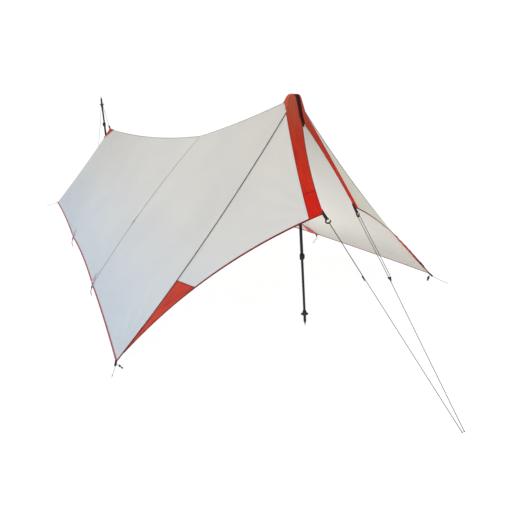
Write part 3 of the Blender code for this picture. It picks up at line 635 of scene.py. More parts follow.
@dataclass
class Layout:
    """Where the canopy's corners, edges and panels lie, on the left side."""

    peak: Vector = Vector((0.0, -0.009, 1.33))
    ridge_end: Vector = Vector((0.0, 3.348, 0.816))
    front_corner: Vector = Vector((-1.108, 0.169, 0.020))
    rear_corner: Vector = Vector((-0.505, 3.725, 0.120))
    door_tip: Vector = Vector((-0.096, -0.386, 0.780))
    tie_runs: tuple[float, float] = (1.086, 2.331)
    tie_inset: float = 0.021
    tie_height: float = 0.090
    ridge_run: float = 3.357
    seam_run: float = 1.289
    seam_drop: float = 0.154
    strip_top_share: float = 0.055
    strip_foot_share: float = 0.055
    corner_seam_share: float = 0.68
    corner_hem_share: float = 0.435
    corner_end_width: float = 0.014
    crown_height: float = 1.345
    crown_radius: float = 0.020
    crown_rear: float = 0.50
    crown_slope: float = 0.12
    crown_fade: float = 0.042
    crown_floor: float = 1.15
    wing_bend: float = 0.12

    def __post_init__(self) -> None:
        """Lay out the edge curves and the surfaces between them."""
        self.seam_top = self.peak.lerp(self.ridge_end, self.seam_run / self.ridge_run) - UP * self.seam_drop
        self.slit_top = self.peak + Vector((-0.0110, -0.004, -0.006))
        self.slit_foot = self.peak + Vector((-0.0085, -0.074, -0.147))
        self.ties = [self.side_tie(run) for run in self.tie_runs]
        first, second = self.ties
        self.ridge_front = bowed(self.peak, self.seam_top, Vector((0.0, -0.003, -0.012)))
        self.ridge_rear = bowed(self.seam_top, self.ridge_end, Vector((0.0, -0.003, -0.040)))
        self.panel_seam = bowed(self.seam_top, first, Vector((-0.021, -0.007, 0.021)))
        self.front_seam = bowed(self.peak, self.front_corner, Vector((0.029, 0.007, -0.024)))
        self.rear_hem = bowed(self.ridge_end, self.rear_corner, Vector((-0.015, -0.038, -0.010)))
        self.side_hem_front = bowed(self.front_corner, first, Vector((0.004, 0.0, 0.006)))
        self.side_hem_rear = joined(
            bowed(first, second, Vector((0.010, 0.0, 0.012))),
            bowed(second, self.rear_corner, Vector((0.008, 0.0, 0.008))),
            (self.tie_runs[1] - self.tie_runs[0]) / (self.rear_corner.y - first.y))
        self.door_hem = bowed(self.door_tip, self.front_corner, Vector((-0.012, 0.055, 0.057)))
        upper, lower = (self.slit_foot - self.slit_top).length, (self.door_tip - self.slit_foot).length
        self.free_edge = joined(
            bowed(self.slit_top, self.slit_foot, Vector()),
            bowed(self.slit_foot, self.door_tip, Vector((-0.013, 0.006, -0.002))), upper / (upper + lower))
        strip_top, strip_foot = self.front_seam(self.strip_top_share), self.door_hem(self.strip_foot_share)
        corner_top = self.front_seam(self.corner_seam_share)
        corner_foot = self.door_hem(1.0 - self.corner_hem_share)
        self.strip_seam = bowed(strip_top, strip_foot, Vector((-0.006, 0.002, -0.006)))
        self.corner_seam = bowed(corner_top, corner_foot, Vector())
        self.corner_end = 1.0 - 0.5 * self.corner_end_width / (corner_top - corner_foot).length
        self.front_wall = blended(self.ridge_front, self.side_hem_front, self.front_seam, self.panel_seam)
        self.rear_wall = blended(self.ridge_rear, self.side_hem_rear, self.panel_seam, self.rear_hem)
        seam, hem = self.front_seam, self.door_hem
        self.wing = blended(
            stretch_of(seam, self.strip_top_share, self.corner_seam_share),
            stretch_of(hem, self.strip_foot_share, 1.0 - self.corner_hem_share), self.strip_seam, self.corner_seam)
        self.strip = self.crowned(blended(
            stretch_of(seam, 0.004, self.strip_top_share), stretch_of(hem, 0.004, self.strip_foot_share),
            self.free_edge, self.strip_seam))
        end = self.corner_end
        self.corner = blended(
            stretch_of(seam, self.corner_seam_share, end), stretch_of(hem, 1.0 - self.corner_hem_share, end),
            self.corner_seam, lambda t: seam(end).lerp(hem(end), t))

    def crown(self, point: Vector) -> Vector:
        """A point near the peak lifted onto the round head of the grip beneath."""
        away = math.hypot(point.x, point.y * (self.crown_rear if point.y > 0.0 else 1.0))
        lift = max(0.0, self.crown_height - self.crown_slope * away - point.z) if point.z > self.crown_floor else 0.0
        return point + UP * lift * (1.0 - ease((away - self.crown_radius) / self.crown_fade))

    def crowned(self, surface: Surface) -> Surface:
        """A surface whose points near the peak are lifted over the grip."""
        return lambda u, v: self.crown(surface(u, v))

    def side_tie(self, run: float) -> Vector:
        """The tie point on the side hem, this far behind the front corner."""
        share = run / (self.rear_corner.y - self.front_corner.y)
        point = self.front_corner.lerp(self.rear_corner, share)
        return Vector((point.x + self.tie_inset, point.y, self.tie_height))

    def wing_turn(self, side: Side) -> tuple[Vector, Vector]:
        """Where a door wing starts and ends its bend away from the wall.

        Args:
            side: Left or right.

        Returns:
            The start and end points for the blend.
        """
        chord = (self.front_corner - self.peak).normalized()
        away = self.door_tip - self.peak
        away = (away - chord * away.dot(chord)).normalized()
        first = max((self.front_seam(step / 20) - self.peak).dot(away) for step in range(21)) + 0.006
        return side.place(self.peak + away * first), side.place(self.peak + away * (first + self.wing_bend))


LAYOUT = Layout()


# ------------------------------------------------------------------ cloth, tape and cord

@dataclass(frozen=True)
class Fan:
    """Tension creases that spread from a held point of a panel.

    Attributes:
        at: The held point, on the left side.
        towards: A point that the creases run to.
        depth: Largest crease depth in metres.
        reach: Distance at which they are deepest.
        count: Creases for each radian.
    """

    at: Vector
    towards: Vector
    depth: float
    reach: float
    count: float = 9.0

    def height(self, point: Vector) -> float:
        """Crease height at a point."""
        out = self.towards - self.at
        way = point - self.at
        distance = way.length / self.reach
        if distance < 1e-6:
            return 0.0
        side = out.cross(Vector((-0.6, -0.3, 0.74))).normalized()
        angle = math.atan2(way.dot(side), way.dot(out.normalized()))
        spread = math.exp(-(angle / 0.9) ** 2)
        return self.depth * distance * math.exp(1.0 - distance) * spread * math.cos(self.count * angle * 2.0)


def ease(value: float) -> float:
    """Smooth step over 0 to 1."""
    value = max(0.0, min(1.0, value))
    return value * value * (3.0 - 2.0 * value)


def surface_frame(surface: Surface, u: float, v: float) -> tuple[Vector, Vector, Vector]:
    """A surface's point, its unit direction down v, and its normal away from the ridge plane."""
    step = 0.004
    along = surface(min(u + step, 1.0), v) - surface(max(u - step, 0.0), v)
    down = surface(u, min(v + step, 1.0)) - surface(u, max(v - step, 0.0))
    normal = along.cross(down).normalized()
    return surface(u, v), down.normalized(), normal if outward_of(normal) > 0.0 else -normal


def run_of(points: Sequence[Vector]) -> float:
    """Length of a line through points."""
    return sum((after - before).length for before, after in zip(points, points[1:]))


def strap_stations(points: Sequence[Vector], across: Vector, carry: Callable[[Vector], Vector]) -> list[Station]:
    """Places along a strap that keeps one direction across.

    Args:
        points: Its route.
        across: Direction of its width.
        carry: Takes each vector to its side.

    Returns:
        Point, direction across and normal of each place.
    """
    made = []
    for number, point in enumerate(points):
        ahead = points[min(number + 1, len(points) - 1)] - points[max(number - 1, 0)]
        made.append((carry(point), carry(across), carry(ahead.cross(across).normalized())))
    return made


def outward_of(normal: Vector) -> float:
    """Positive where a left-hand normal points out of the shelter."""
    return normal.dot(Vector((-0.6, -0.25, 0.75)))


@dataclass
class Panel:
    """One sheet of cloth on its surface.

    Attributes:
        name: Piece name, without its side.
        surface: Left-hand surface.
        finish: Material.
        columns: Faces over u.
        rows: Faces over v.
        lift: Height of the cloth's middle over the surface.
        thickness: Cloth thickness.
        fans: Tension creases.
    """

    name: str
    surface: Surface
    finish: bpy.types.Material
    columns: int
    rows: int
    lift: float = 0.0006
    thickness: float = 0.0007
    fans: Sequence[Fan] = ()
    ripple: Callable[[float, float], float] | None = None

    def build(self, side: Side) -> tuple[bpy.types.Object, float, tuple[float, float]]:
        """Lay the grid and give it its thickness.

        Args:
            side: Left or right.

        Returns:
            The piece, its flat area and its flat width and length.
        """
        width = sum(self.length_over(True, v) for v in (0.0, 0.5, 1.0)) / 3.0
        height = sum(self.length_over(False, u) for u in (0.0, 0.5, 1.0)) / 3.0
        grid = [[side.place(self.point(column / self.columns, row / self.rows)) for column in range(self.columns + 1)]
                for row in range(self.rows + 1)]
        made, area = Workshop.cloth(f"{side.word}_{self.name}", grid, (width, height),
                                    lambda normal: outward_of(side.place(normal)), self.finish, self.thickness)
        longest = max(self.length_over(True, v) for v in (0.0, 0.5, 1.0))
        widest = max(self.length_over(False, u) for u in (0.0, 0.5, 1.0))
        return made, area, (widest, longest)

    def point(self, u: float, v: float) -> Vector:
        """A point of the cloth's middle, with its creases."""
        spot, _, normal = surface_frame(self.surface, u, v)
        edge = min(min(u, 1.0 - u) * self.columns, min(v, 1.0 - v) * self.rows) / 4.0
        rise = sum(fan.height(spot) for fan in self.fans)
        if self.ripple is not None:
            rise += self.ripple(u, v)
        return spot + normal * (self.lift + rise * ease(edge))

    def length_over(self, along_u: bool, fixed: float) -> float:
        """Length of one grid line."""
        steps = [step / 16 for step in range(17)]
        return run_of([self.surface(step, fixed) if along_u else self.surface(fixed, step) for step in steps])


def seam_stations(surface: Surface, path: Callable[[float], tuple[float, float]], inward: tuple[float, float],
                  count: int, side: Side, lift: float) -> list[Station]:
    """Places along a line on a panel.

    Args:
        surface: Left-hand surface.
        path: (u, v) over 0 to 1.
        inward: Step in (u, v) that points into the panel.
        count: Number of steps.
        side: Left or right.
        lift: Height over the surface.

    Returns:
        Point, direction across and normal of each place.
    """
    made = []
    for step in range(count + 1):
        u, v = path(step / count)
        spot, _, normal = surface_frame(surface, u, v)
        nearby = surface(min(1.0, max(0.0, u + inward[0])), min(1.0, max(0.0, v + inward[1])))
        u_next, v_next = path(min(1.0, step / count + 0.01))
        u_last, v_last = path(max(0.0, step / count - 0.01))
        tangent = (surface(u_next, v_next) - surface(u_last, v_last)).normalized()
        across = nearby - spot
        across = (across - tangent * across.dot(tangent) - normal * across.dot(normal)).normalized()
        made.append((side.place(spot + normal * lift), side.place(across), side.place(normal)))
    return made


def flat_profile(low_edge: float, high_edge: float, bottom: float, top: float, crown: float = 0.0) -> Profile:
    """A rounded flat section.

    Args:
        low_edge: Across position of one edge.
        high_edge: Across position of the other.
        bottom: Lower face height.
        top: Upper face height.
        crown: Extra height in the middle.

    Returns:
        Points (across, height) round the section.
    """
    soft = (top - bottom) * 0.35
    middle = (low_edge + high_edge) * 0.5
    quarter = (high_edge - low_edge) * 0.25
    return ((low_edge, bottom + soft), (low_edge + soft, bottom), (middle, bottom), (high_edge - soft, bottom),
            (high_edge, bottom + soft), (high_edge, top - soft), (high_edge - soft, top),
            (middle + quarter, top + crown * 0.75), (middle, top + crown), (middle - quarter, top + crown * 0.75),
            (low_edge + soft, top), (low_edge, top - soft))


class Workshop:
    """Mesh making that every sub-assembly shares."""

    @staticmethod
    def link(name: str, data: bpy.types.ID, finish: bpy.types.Material) -> bpy.types.Object:
        """Put data in the scene as one piece.

        Args:
            name: Piece name.
            data: Mesh.
            finish: Material.

        Returns:
            The object.
        """
        made = bpy.data.objects.new(name, data)
        bpy.context.scene.collection.objects.link(made)
        data.materials.clear()
        data.materials.append(finish)
        return made

    @staticmethod
    def only(made: bpy.types.Object) -> None:
        """Deselect all and make one object the selected, active one."""
        if bpy.context.mode != "OBJECT":
            bpy.ops.object.mode_set(mode="OBJECT")
        bpy.ops.object.select_all(action="DESELECT")
        made.select_set(True)
        bpy.context.view_layer.objects.active = made

    @classmethod
    def thicken(cls, made: bpy.types.Object, thickness: float) -> None:
        """Give a sheet its thickness, evenly to both sides."""
        solid = made.modifiers.new("thickness", "SOLIDIFY")
        solid.thickness = thickness
        solid.offset = 0.0
        cls.only(made)
        bpy.ops.object.modifier_apply(modifier=solid.name)

    @classmethod
    def band(cls, name: str, stations: Sequence[Station], profile: Profile,
             finish: bpy.types.Material) -> bpy.types.Object:
        """Sweep a closed section along stations and close its ends.

        Args:
            name: Piece name.
            stations: Point, direction across and normal of each place.
            profile: Points (across, height) round the section.
            finish: Material.

        Returns:
            The piece.
        """
        rings = [[spot + across * a + normal * b for a, b in profile] for spot, across, normal in stations]
        return cls.loft(name, rings, [spot for spot, _, _ in stations], [a for a, _ in profile], finish)

    @classmethod
    def loft(cls, name: str, rings: Sequence[Sequence[Vector]], middles: Sequence[Vector],
             widths: Sequence[float], finish: bpy.types.Material, smooth: bool = True) -> bpy.types.Object:
        """Join closed rings of points and close both ends.

        Args:
            name: Piece name.
            rings: Points of each ring.
            middles: A point of each ring, which gives the distance along.
            widths: Distance across of each point of a ring.
            finish: Material.
            smooth: Shade the long faces smoothly.

        Returns:
            The piece.
        """
        cage = bmesh.new()
        laid = cage.loops.layers.uv.new("UVMap")
        grid = [[cage.verts.new(point) for point in ring] for ring in rings]
        runs = [run_of(middles[:number + 1]) for number in range(len(middles))]
        for number in range(len(grid) - 1):
            for slot in range(len(widths)):
                after = (slot + 1) % len(widths)
                corners = ((number, slot), (number + 1, slot), (number + 1, after), (number, after))
                face = cage.faces.new([grid[n][s] for n, s in corners])
                for loop, (n, s) in zip(face.loops, corners):
                    loop[laid].uv = (runs[n], widths[s])
        for end in (0, -1):
            for loop, width in zip(cage.faces.new(grid[end]).loops, widths):
                loop[laid].uv = (runs[end], width)
        return cls.close(cage, name, finish, smooth)

    @classmethod
    def close(cls, cage: bmesh.types.BMesh, name: str, finish: bpy.types.Material,
              smooth: bool = True) -> bpy.types.Object:
        """Turn the faces outwards, shade the quads and make the piece."""
        bmesh.ops.recalc_face_normals(cage, faces=cage.faces[:])
        for face in cage.faces:
            face.smooth = smooth and len(face.verts) == 4
        mesh = bpy.data.meshes.new(name)
        cage.to_mesh(mesh)
        cage.free()
        return cls.link(name, mesh, finish)

    @classmethod
    def cloth(cls, name: str, grid: Sequence[Sequence[Vector]], size: tuple[float, float],
              outward: Callable[[Vector], float], finish: bpy.types.Material,
              thickness: float) -> tuple[bpy.types.Object, float]:
        """Join a grid of points into a sheet and give it its thickness.

        Args:
            name: Piece name.
            grid: Points, row by row.
            size: Width and height of its UV map, in metres.
            outward: Positive where a normal points out.
            finish: Material.
            thickness: Cloth thickness.

        Returns:
            The piece and its area.
        """
        cage = bmesh.new()
        laid = cage.loops.layers.uv.new("UVMap")
        laced = [[cage.verts.new(point) for point in line] for line in grid]
        rows, columns = len(grid) - 1, len(grid[0]) - 1
        for row in range(rows):
            for column in range(columns):
                ring = [(row, column), (row, column + 1), (row + 1, column + 1), (row + 1, column)]
                face = cage.faces.new([laced[r][c] for r, c in ring])
                face.smooth = True
                for loop, (r, c) in zip(face.loops, ring):
                    loop[laid].uv = (c / columns * size[0], r / rows * size[1])
        cage.normal_update()
        if outward(sum((face.normal for face in cage.faces), Vector())) < 0.0:
            bmesh.ops.reverse_faces(cage, faces=cage.faces[:])
        area = sum(face.calc_area() for face in cage.faces)
        mesh = bpy.data.meshes.new(name)
        cage.to_mesh(mesh)
        cage.free()
        made = cls.link(name, mesh, finish)
        cls.thicken(made, thickness)
        return made, area

    @classmethod
    def tube(cls, name: str, points: Sequence[Vector], radius: float, finish: bpy.types.Material,
             sides: int = 10, closed: bool = False) -> bpy.types.Object:
        """A round cord along points.

        Args:
            name: Piece name.
            points: Its centreline.
            radius: Cord radius.
            finish: Material.
            sides: Faces round it.
            closed: Join the last point to the first.

        Returns:
            The piece.
        """
        cage = bmesh.new()
        laid = cage.loops.layers.uv.new("UVMap")
        count = len(points)
        tangents = []
        for number in range(count):
            before = points[(number - 1) % count] if closed or number else points[0]
            after = points[(number + 1) % count] if closed or number < count - 1 else points[-1]
            tangents.append((after - before).normalized())
        normal = tangents[0].orthogonal().normalized()
        rings, runs, run = [], [], 0.0
        for number, (spot, tangent) in enumerate(zip(points, tangents)):
            normal = (normal - tangent * normal.dot(tangent)).normalized()
            other = tangent.cross(normal)
            run += (spot - points[number - 1]).length if number else 0.0
            runs.append(run)
            rings.append([cage.verts.new(spot + (normal * math.cos(a) + other * math.sin(a)) * radius)
                          for a in (2.0 * math.pi * s / sides for s in range(sides))])
        pairs = [(n, n + 1) for n in range(count - 1)] + ([(count - 1, 0)] if closed else [])
        for first, last in pairs:
            end_run = runs[last] if last else run + (points[0] - points[-1]).length
            shift = 0 if last else min(range(sides), key=lambda s: (rings[last][s].co - rings[first][0].co).length)
            for slot in range(sides):
                after = slot + 1
                face = cage.faces.new((rings[first][slot], rings[last][(slot + shift) % sides],
                                       rings[last][(after + shift) % sides], rings[first][after % sides]))
                values = ((runs[first], slot), (end_run, slot), (end_run, after), (runs[first], after))
                for loop, (along, point) in zip(face.loops, values):
                    loop[laid].uv = (along, point / sides)
        if not closed:
            cage.faces.new(rings[0])
            cage.faces.new(rings[-1])
        return cls.close(cage, name, finish)

    @classmethod
    def knot(cls, name: str, at: Vector, axis: Vector, size: float, radius: float,
             finish: bpy.types.Material) -> bpy.types.Object:
        """A pulled-tight overhand knot.

        Args:
            name: Piece name.
            at: Its middle.
            axis: The cord's direction.
            size: Distance across it.
            radius: Cord radius.
            finish: Material.

        Returns:
            The piece.
        """
        place = facing(at, axis, axis.orthogonal())
        lobe, flat, steps = size / 6.0, 0.8, 42
        points = []
        for t in (2.0 * math.pi * step / steps for step in range(steps)):
            points.append(place @ Vector((-2.0 * flat * lobe * math.sin(3 * t),
                                          flat * lobe * (math.sin(t) + 2 * math.sin(2 * t)),
                                          flat * lobe * (math.cos(t) - 2 * math.cos(2 * t)))))
        return cls.tube(name, points, radius, finish, 8, True)


class Rider:
    """Hands finished pieces over to the frame and reports them."""

    @staticmethod
    def ride(piece: bpy.types.Object, body: str, slot: str, nodes: Iterable[str] = ()) -> bpy.types.Object:
        """Fix a piece to a body.

        Args:
            piece: The piece.
            body: CAD body.
            slot: Material slot; not used.
            nodes: CAD nodes that it stands for.

        Returns:
            The piece.
        """
        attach(piece, body)
        Rider.record(piece, body, slot, nodes)
        return piece

    @staticmethod
    def bend(piece: bpy.types.Object, side: Side, slot: str, nodes: Iterable[str] = ()) -> bpy.types.Object:
        """Bake a piece's place into its mesh, hide the CAD nodes that it stands for and log it under a door wing; the
        wing's turn is read, but the piece is neither bent nor fixed to the wing.
        """
        start, end = LAYOUT.wing_turn(side)
        side.wing
        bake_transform(piece)
        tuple(start)
        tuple(end)
        Rider.record(piece, side.wing, slot, nodes)
        return piece

    @staticmethod
    def record(piece: bpy.types.Object, body: str, slot: str, nodes: Iterable[str]) -> None:
        """Hide the CAD nodes that a piece stands for, and log the piece."""
        if nodes:
            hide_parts(*nodes)
        LOG.info("%s on %s (%d faces)", piece.name, body, len(piece.data.polygons))

    @staticmethod
    def sheet(piece: bpy.types.Object, area: float, flat: tuple[float, float], held: Sequence[str],
              trims: Sequence[bpy.types.Object] = ()) -> None:
        """Log a stretched sheet of cloth with its flat size and area."""
        width, length = flat
        list(held)
        LOG.info("%s cut %.2f x %.2f m, %.2f m2", piece.name, width, length, area)


# ------------------------------------------------------------------ canopy

@dataclass
class Canopy:
    """Walls, ridge, seams, bindings, ties and patches that stay with the poles.

    Attributes:
        finishes: Materials.
        seam_half: Half the width of a seam tape.
        binding_width: Width of the red side binding.
        hem_width: Width of the white rear hem.
        patch_height: Reach of a side tie's outer patch, as a share of the wall's height.
        patch_growth: How much taller the inner patch is.
        mid_tie_at: Place of the mid-panel tie down the seam.
        ridge_half: Width of the ridge tape down each slope.
        ridge_rise: Its thickness.
        gusset_lift: Height of the red patches over the walls.
    """

    finishes: Finishes
    seam_half: float = 0.0048
    binding_width: float = 0.0115
    hem_width: float = 0.0070
    patch_height: float = 0.055
    patch_growth: float = 1.7
    mid_tie_at: float = 0.59
    ridge_half: float = 0.006
    ridge_rise: float = 0.0010
    gusset_lift: float = 0.0030

    def build(self) -> None:
        """Build both sides, then what lies on the ridge."""
        for side in Side:
            self.build_walls(side)
            self.build_ties(side)
        self.build_ridge()
        self.build_cap()
        self.build_rear_patch()

    def build_walls(self, side: Side) -> None:
        """Front and rear wall of one side, with the tapes sewn to them."""
        lay, finishes = LAYOUT, self.finishes
        first, second = lay.ties
        front_middle, rear_middle = lay.front_wall(0.5, 0.45), lay.rear_wall(0.45, 0.45)
        front = Panel("front_wall_cloth", lay.front_wall, finishes.cloth[side], 96, 88, fans=(
            Fan(lay.front_corner, front_middle, 0.0030, 0.16), Fan(first, front_middle, 0.0026, 0.13),
            Fan(lay.peak, front_middle, 0.0018, 0.14)), ripple=self.drape(0.0022, 2.3))
        rear = Panel("rear_wall_cloth", lay.rear_wall, finishes.cloth[side], 128, 72, fans=(
            Fan(first, rear_middle, 0.0026, 0.13), Fan(second, rear_middle, 0.0030, 0.14),
            Fan(lay.rear_corner, rear_middle, 0.0028, 0.16), Fan(lay.ridge_end, rear_middle, 0.0018, 0.13)),
            ripple=self.drape(0.0026, 3.1))
        tapes = self.build_tapes(side)
        for panel, node, trims in ((front, "front_wall", tapes[:3]), (rear, "rear_wall", tapes[3:])):
            piece, area, flat = panel.build(side)
            Rider.ride(piece, "canopy", "cloth", [f"{side.word}_{node}"])
            Rider.sheet(piece, area, flat, ["front_pole_grip", f"{side.word}_side_tab_1"], trims)

    @staticmethod
    def drape(depth: float, waves: float) -> Callable[[float, float], float]:
        """Long soft folds that run from the ridge to the hem."""
        def ripple(u: float, v: float) -> float:
            """Height of the folds at (u, v)."""
            swing = (math.sin(2.0 * math.pi * (waves * u + 0.35 * v))
                     + 0.5 * math.sin(2.0 * math.pi * (1.7 * waves * u - 0.6 * v)))
            return depth * swing * math.sin(math.pi * v) ** 0.7 * math.sin(math.pi * u)
        return ripple

    def build_tapes(self, side: Side) -> list[bpy.types.Object]:
        """Seam tapes and hem bindings of one side.

        Args:
            side: Left or right.

        Returns:
            The pieces: three on the front wall, then the rear wall's.
        """
        lay, finishes, word = LAYOUT, self.finishes, side.word
        seam = flat_profile(-self.seam_half, self.seam_half, 0.0, 0.0009, 0.0003)
        thin = flat_profile(-self.seam_half * 0.8, self.seam_half * 0.8, 0.0, 0.0007, 0.0002)
        wrap = flat_profile(-0.0010, self.binding_width, -0.0009, 0.0011)
        white = flat_profile(-0.0008, self.hem_width, -0.0008, 0.0010)
        foot = flat_profile(-self.seam_half * 1.3, self.seam_half, -0.0030, 0.0014, 0.0003)
        rows = (
            # The left front seam tape takes the painted-shade tone; the right one the pale ridge tape.
            ("front_seam_tape", lay.front_wall, lambda t: (0.0, 0.052 + 0.945 * t), (0.01, 0.0), 0.0010, seam,
             finishes.seam_tape_painted_shade if side is Side.LEFT else finishes.ridge_tape, 60),
            ("seam_foot_binding", lay.front_wall, lambda t: (0.0, 0.860 + 0.138 * t), (0.01, 0.0), 0.0016, foot,
             finishes.door_binding, 16),
            ("front_side_binding", lay.front_wall, lambda t: (t, 1.0), (0.0, -0.01), 0.0006, wrap,
             finishes.binding, 40),
            ("panel_seam_tape", lay.rear_wall, lambda t: (0.0, 0.004 + 0.988 * t), (0.01, 0.0), 0.0010, thin,
             finishes.pale_seam, 60),
            ("rear_side_binding", lay.rear_wall, lambda t: (t, 1.0), (0.0, -0.01), 0.0006, wrap,
             finishes.binding, 80),
            ("rear_hem", lay.rear_wall, lambda t: (1.0, t), (-0.01, 0.0), 0.0006, white, finishes.white_hem, 40),
        )
        made = []
        for name, surface, path, inward, lift, profile, finish, count in rows:
            stations = seam_stations(surface, path, inward, count, side, lift)
            piece = Workshop.band(f"{word}_{name}", stations, profile, finish)
            made.append(Rider.ride(piece, "canopy", "webbing" if "seam" in name else "red_cloth"))
        return made

    def build_ties(self, side: Side) -> None:
        """Reinforcing patches, webbing loops and the mid-panel tie-out."""
        lay, finishes, word = LAYOUT, self.finishes, side.word
        for number, (tie, share) in enumerate(zip(lay.ties, (0.0, self.second_share())), 1):
            self.build_tie_patch(side, number, share)
            down = Vector((-0.35, 0.0, -0.94)).normalized()
            self.build_tab(f"{word}_side_tie_{number}", side, tie, down, 0.0222, Vector((0.0, 1.0, 0.0)),
                           0.0068, finishes.webbing, [f"{word}_side_tab_{number}"])
        corner = lay.front_corner
        pull = (GroundCords.corner_start(side) - side.place(corner))
        pull = side.place(pull)
        across = pull.cross(UP).normalized()
        self.build_tab(f"{word}_corner_loop", side, corner, pull.normalized(), pull.length, across, 0.0060,
                       finishes.webbing, [f"{word}_corner_tab"])
        self.build_mid_tie(side)

    @staticmethod
    def second_share() -> float:
        """Share of the rear side hem at which the second tie sits."""
        first, second = LAYOUT.tie_runs
        return (second - first) / (LAYOUT.rear_corner.y - LAYOUT.ties[0].y)

    def build_tab(self, name: str, side: Side, root: Vector, along: Vector, length: float, across: Vector,
                  half_width: float, finish: bpy.types.Material, nodes: Sequence[str]) -> None:
        """A folded loop of webbing sewn over an edge.

        Args:
            name: Piece name.
            side: Left or right.
            root: Edge point, on the left side.
            along: Direction away from the edge.
            length: Reach beyond the edge.
            across: Direction of the webbing's width.
            half_width: Half the width.
            finish: Material.
            nodes: CAD nodes that it stands for.
        """
        normal = along.cross(across).normalized()
        bulge, thick, tail = 0.0021, 0.00075, 0.016
        route = [(-tail, bulge * 0.55), (-tail * 0.4, bulge * 0.6), (0.0, bulge * 0.7), (length * 0.45, bulge * 0.9)]
        for step in range(7):
            angle = math.radians(90 - 30 * step)
            route.append((length - bulge - thick + math.cos(angle) * bulge, math.sin(angle) * bulge))
        route += [(length * 0.45, -bulge * 0.9), (0.0, -bulge * 0.7), (-tail * 0.4, -bulge * 0.6),
                  (-tail, -bulge * 0.55)]
        points = [root + along * a + normal * b for a, b in route]
        stations = strap_stations(points, across, side.place)
        profile = flat_profile(-half_width, half_width, -thick * 0.5, thick * 0.5)
        Rider.ride(Workshop.band(name, stations, profile, finish), "canopy", "webbing", nodes)

    def build_tie_patch(self, side: Side, number: int, share: float) -> None:
        """A red doubler inside the side hem, and outside a pale pink sheet of painted light for the doubler showing
        through the cloth.

        Args:
            side: Left or right.
            number: Which tie, from the front.
            share: Place of the tie along the rear wall.
        """
        lay = LAYOUT
        reach = self.patch_height

        def patch(u: float, v: float) -> Vector:
            """Point of the doubler, tall at its rear end and tapering forwards along the hem."""
            along = share + 0.041 * u - 0.015
            down = 0.998 - v * reach * (0.06 + 0.94 * u)
            return lay.rear_wall(along, down) if along >= 0.0 else lay.front_wall(1.0 + 2.4 * along, down)

        # The outer sheet is painted light, the inner doubler's show-through; the inner sheet is the red doubler itself.
        for word, lift, finish, growth in (("outer", 0.0026, self.finishes.pink, 1.0),
                                           ("inner", -0.0044, self.finishes.inner_red, self.patch_growth)):
            reach = self.patch_height * growth
            panel = Panel(f"side_tie_{number}_{word}_doubler", patch, finish, 10, 12, lift=lift, thickness=0.0006)
            piece, area, _ = panel.build(side)
            legs = panel.length_over(True, 0.0), panel.length_over(False, 1.0)
            Rider.ride(piece, "canopy", "red_cloth")
            Rider.sheet(piece, area, legs, [f"{side.word}_rear_wall"])

    def build_mid_tie(self, side: Side) -> None:
        """A small grey doubler and pull loop on the panel seam."""
        lay, finishes = LAYOUT, self.finishes
        at = self.mid_tie_at

        def patch(u: float, v: float) -> Vector:
            """Point of the lens-shaped doubler on the seam."""
            taper = math.sin(math.pi * max(0.03, min(0.97, v)))
            return lay.rear_wall(0.0004 + u * 0.010 * taper, at - 0.045 + 0.09 * v)

        panel = Panel("mid_tie_patch", patch, self.finishes.grey_webbing, 6, 14, lift=0.0017, thickness=0.0007)
        piece, area, flat = panel.build(side)
        Rider.ride(piece, "canopy", "webbing")
        Rider.sheet(piece, area, flat, [f"{side.word}_rear_wall"])
        spot, down, normal = surface_frame(lay.rear_wall, 0.0, at)
        across = normal.cross(down).normalized()
        arch = [spot + across * (math.cos(a) * 0.011) + normal * (math.sin(a) * 0.006 + 0.002)
                for a in (math.pi * step / 12 for step in range(13))]
        bar = [(side.place(spot + down * 0.010 + across * (0.038 * (step / 8 - 0.5)) + normal * 0.0020),
                side.place(down), side.place(normal)) for step in range(9)]
        for word, stations, under in (("bar", bar, -0.0005), ("loop", strap_stations(arch, down, side.place), -0.0004)):
            webbing = Workshop.band(f"{side.word}_mid_tie_{word}", stations,
                                    flat_profile(-0.005, 0.005, under, 0.0004), finishes.grey_webbing)
            Rider.ride(webbing, "canopy", "webbing")

    def build_ridge(self) -> None:
        """A folded tape along the ridge, down a little on each wall."""
        lay = LAYOUT
        for name, surface, ridge, count in (("front_ridge_tape", lay.front_wall, lay.ridge_front, 40),
                                            ("rear_ridge_tape", lay.rear_wall, lay.ridge_rear, 64)):
            stations = []
            for step in range(count + 1):
                u = step / count
                spot, down, normal = surface_frame(surface, u, 0.0)
                stations.append((spot + UP * 0.0006 / max(0.3, normal.z), down, normal))
            self.sweep_ridge(name, stations)

    def sweep_ridge(self, name: str, stations: Sequence[Station]) -> None:
        """Sweep the ridge tape's chevron section.

        Args:
            name: Piece name.
            stations: Ridge point, left down-slope direction and left normal.
        """
        half, rise = self.ridge_half, self.ridge_rise
        rings = []
        for spot, down, normal in stations:
            other, far = Side.RIGHT.place(down), Side.RIGHT.place(normal)
            top = spot + UP * rise / max(0.3, normal.z)
            rings.append((
                spot + down * half, spot + down * half + normal * rise, spot + down * half * 0.3 + normal * rise,
                top - UP * 0.0002, spot + other * half * 0.3 + far * rise, spot + other * half + far * rise,
                spot + other * half, spot))
        widths = (half, half, half * 0.3, 0.0, -half * 0.3, -half, -half, 0.0)
        tape = Workshop.loft(name, rings, [spot for spot, _, _ in stations], widths, self.finishes.ridge_tape, False)
        Rider.ride(tape, "canopy", "cloth")

    def gusset(self, ridge: Curve, ridge_share: float, edge: Curve, edge_share: float, wall: Surface,
               wall_end: float) -> Surface:
        """A patch folded over the ridge's end.

        Args:
            ridge: Ridge curve from this end.
            ridge_share: How far it runs along the ridge.
            edge: Edge that falls from the ridge's end.
            edge_share: How far it runs down the edge.
            wall: Wall below it.
            wall_end: Where on the wall its slope is read.

        Returns:
            The surface, on both sides of the ridge.
        """
        lift = self.gusset_lift
        _, _, slope = surface_frame(wall, wall_end, 0.05)
        rise = UP * (lift / abs(slope.z))
        outward = Vector((-abs(slope.x), 0.0, abs(slope.z))) * lift

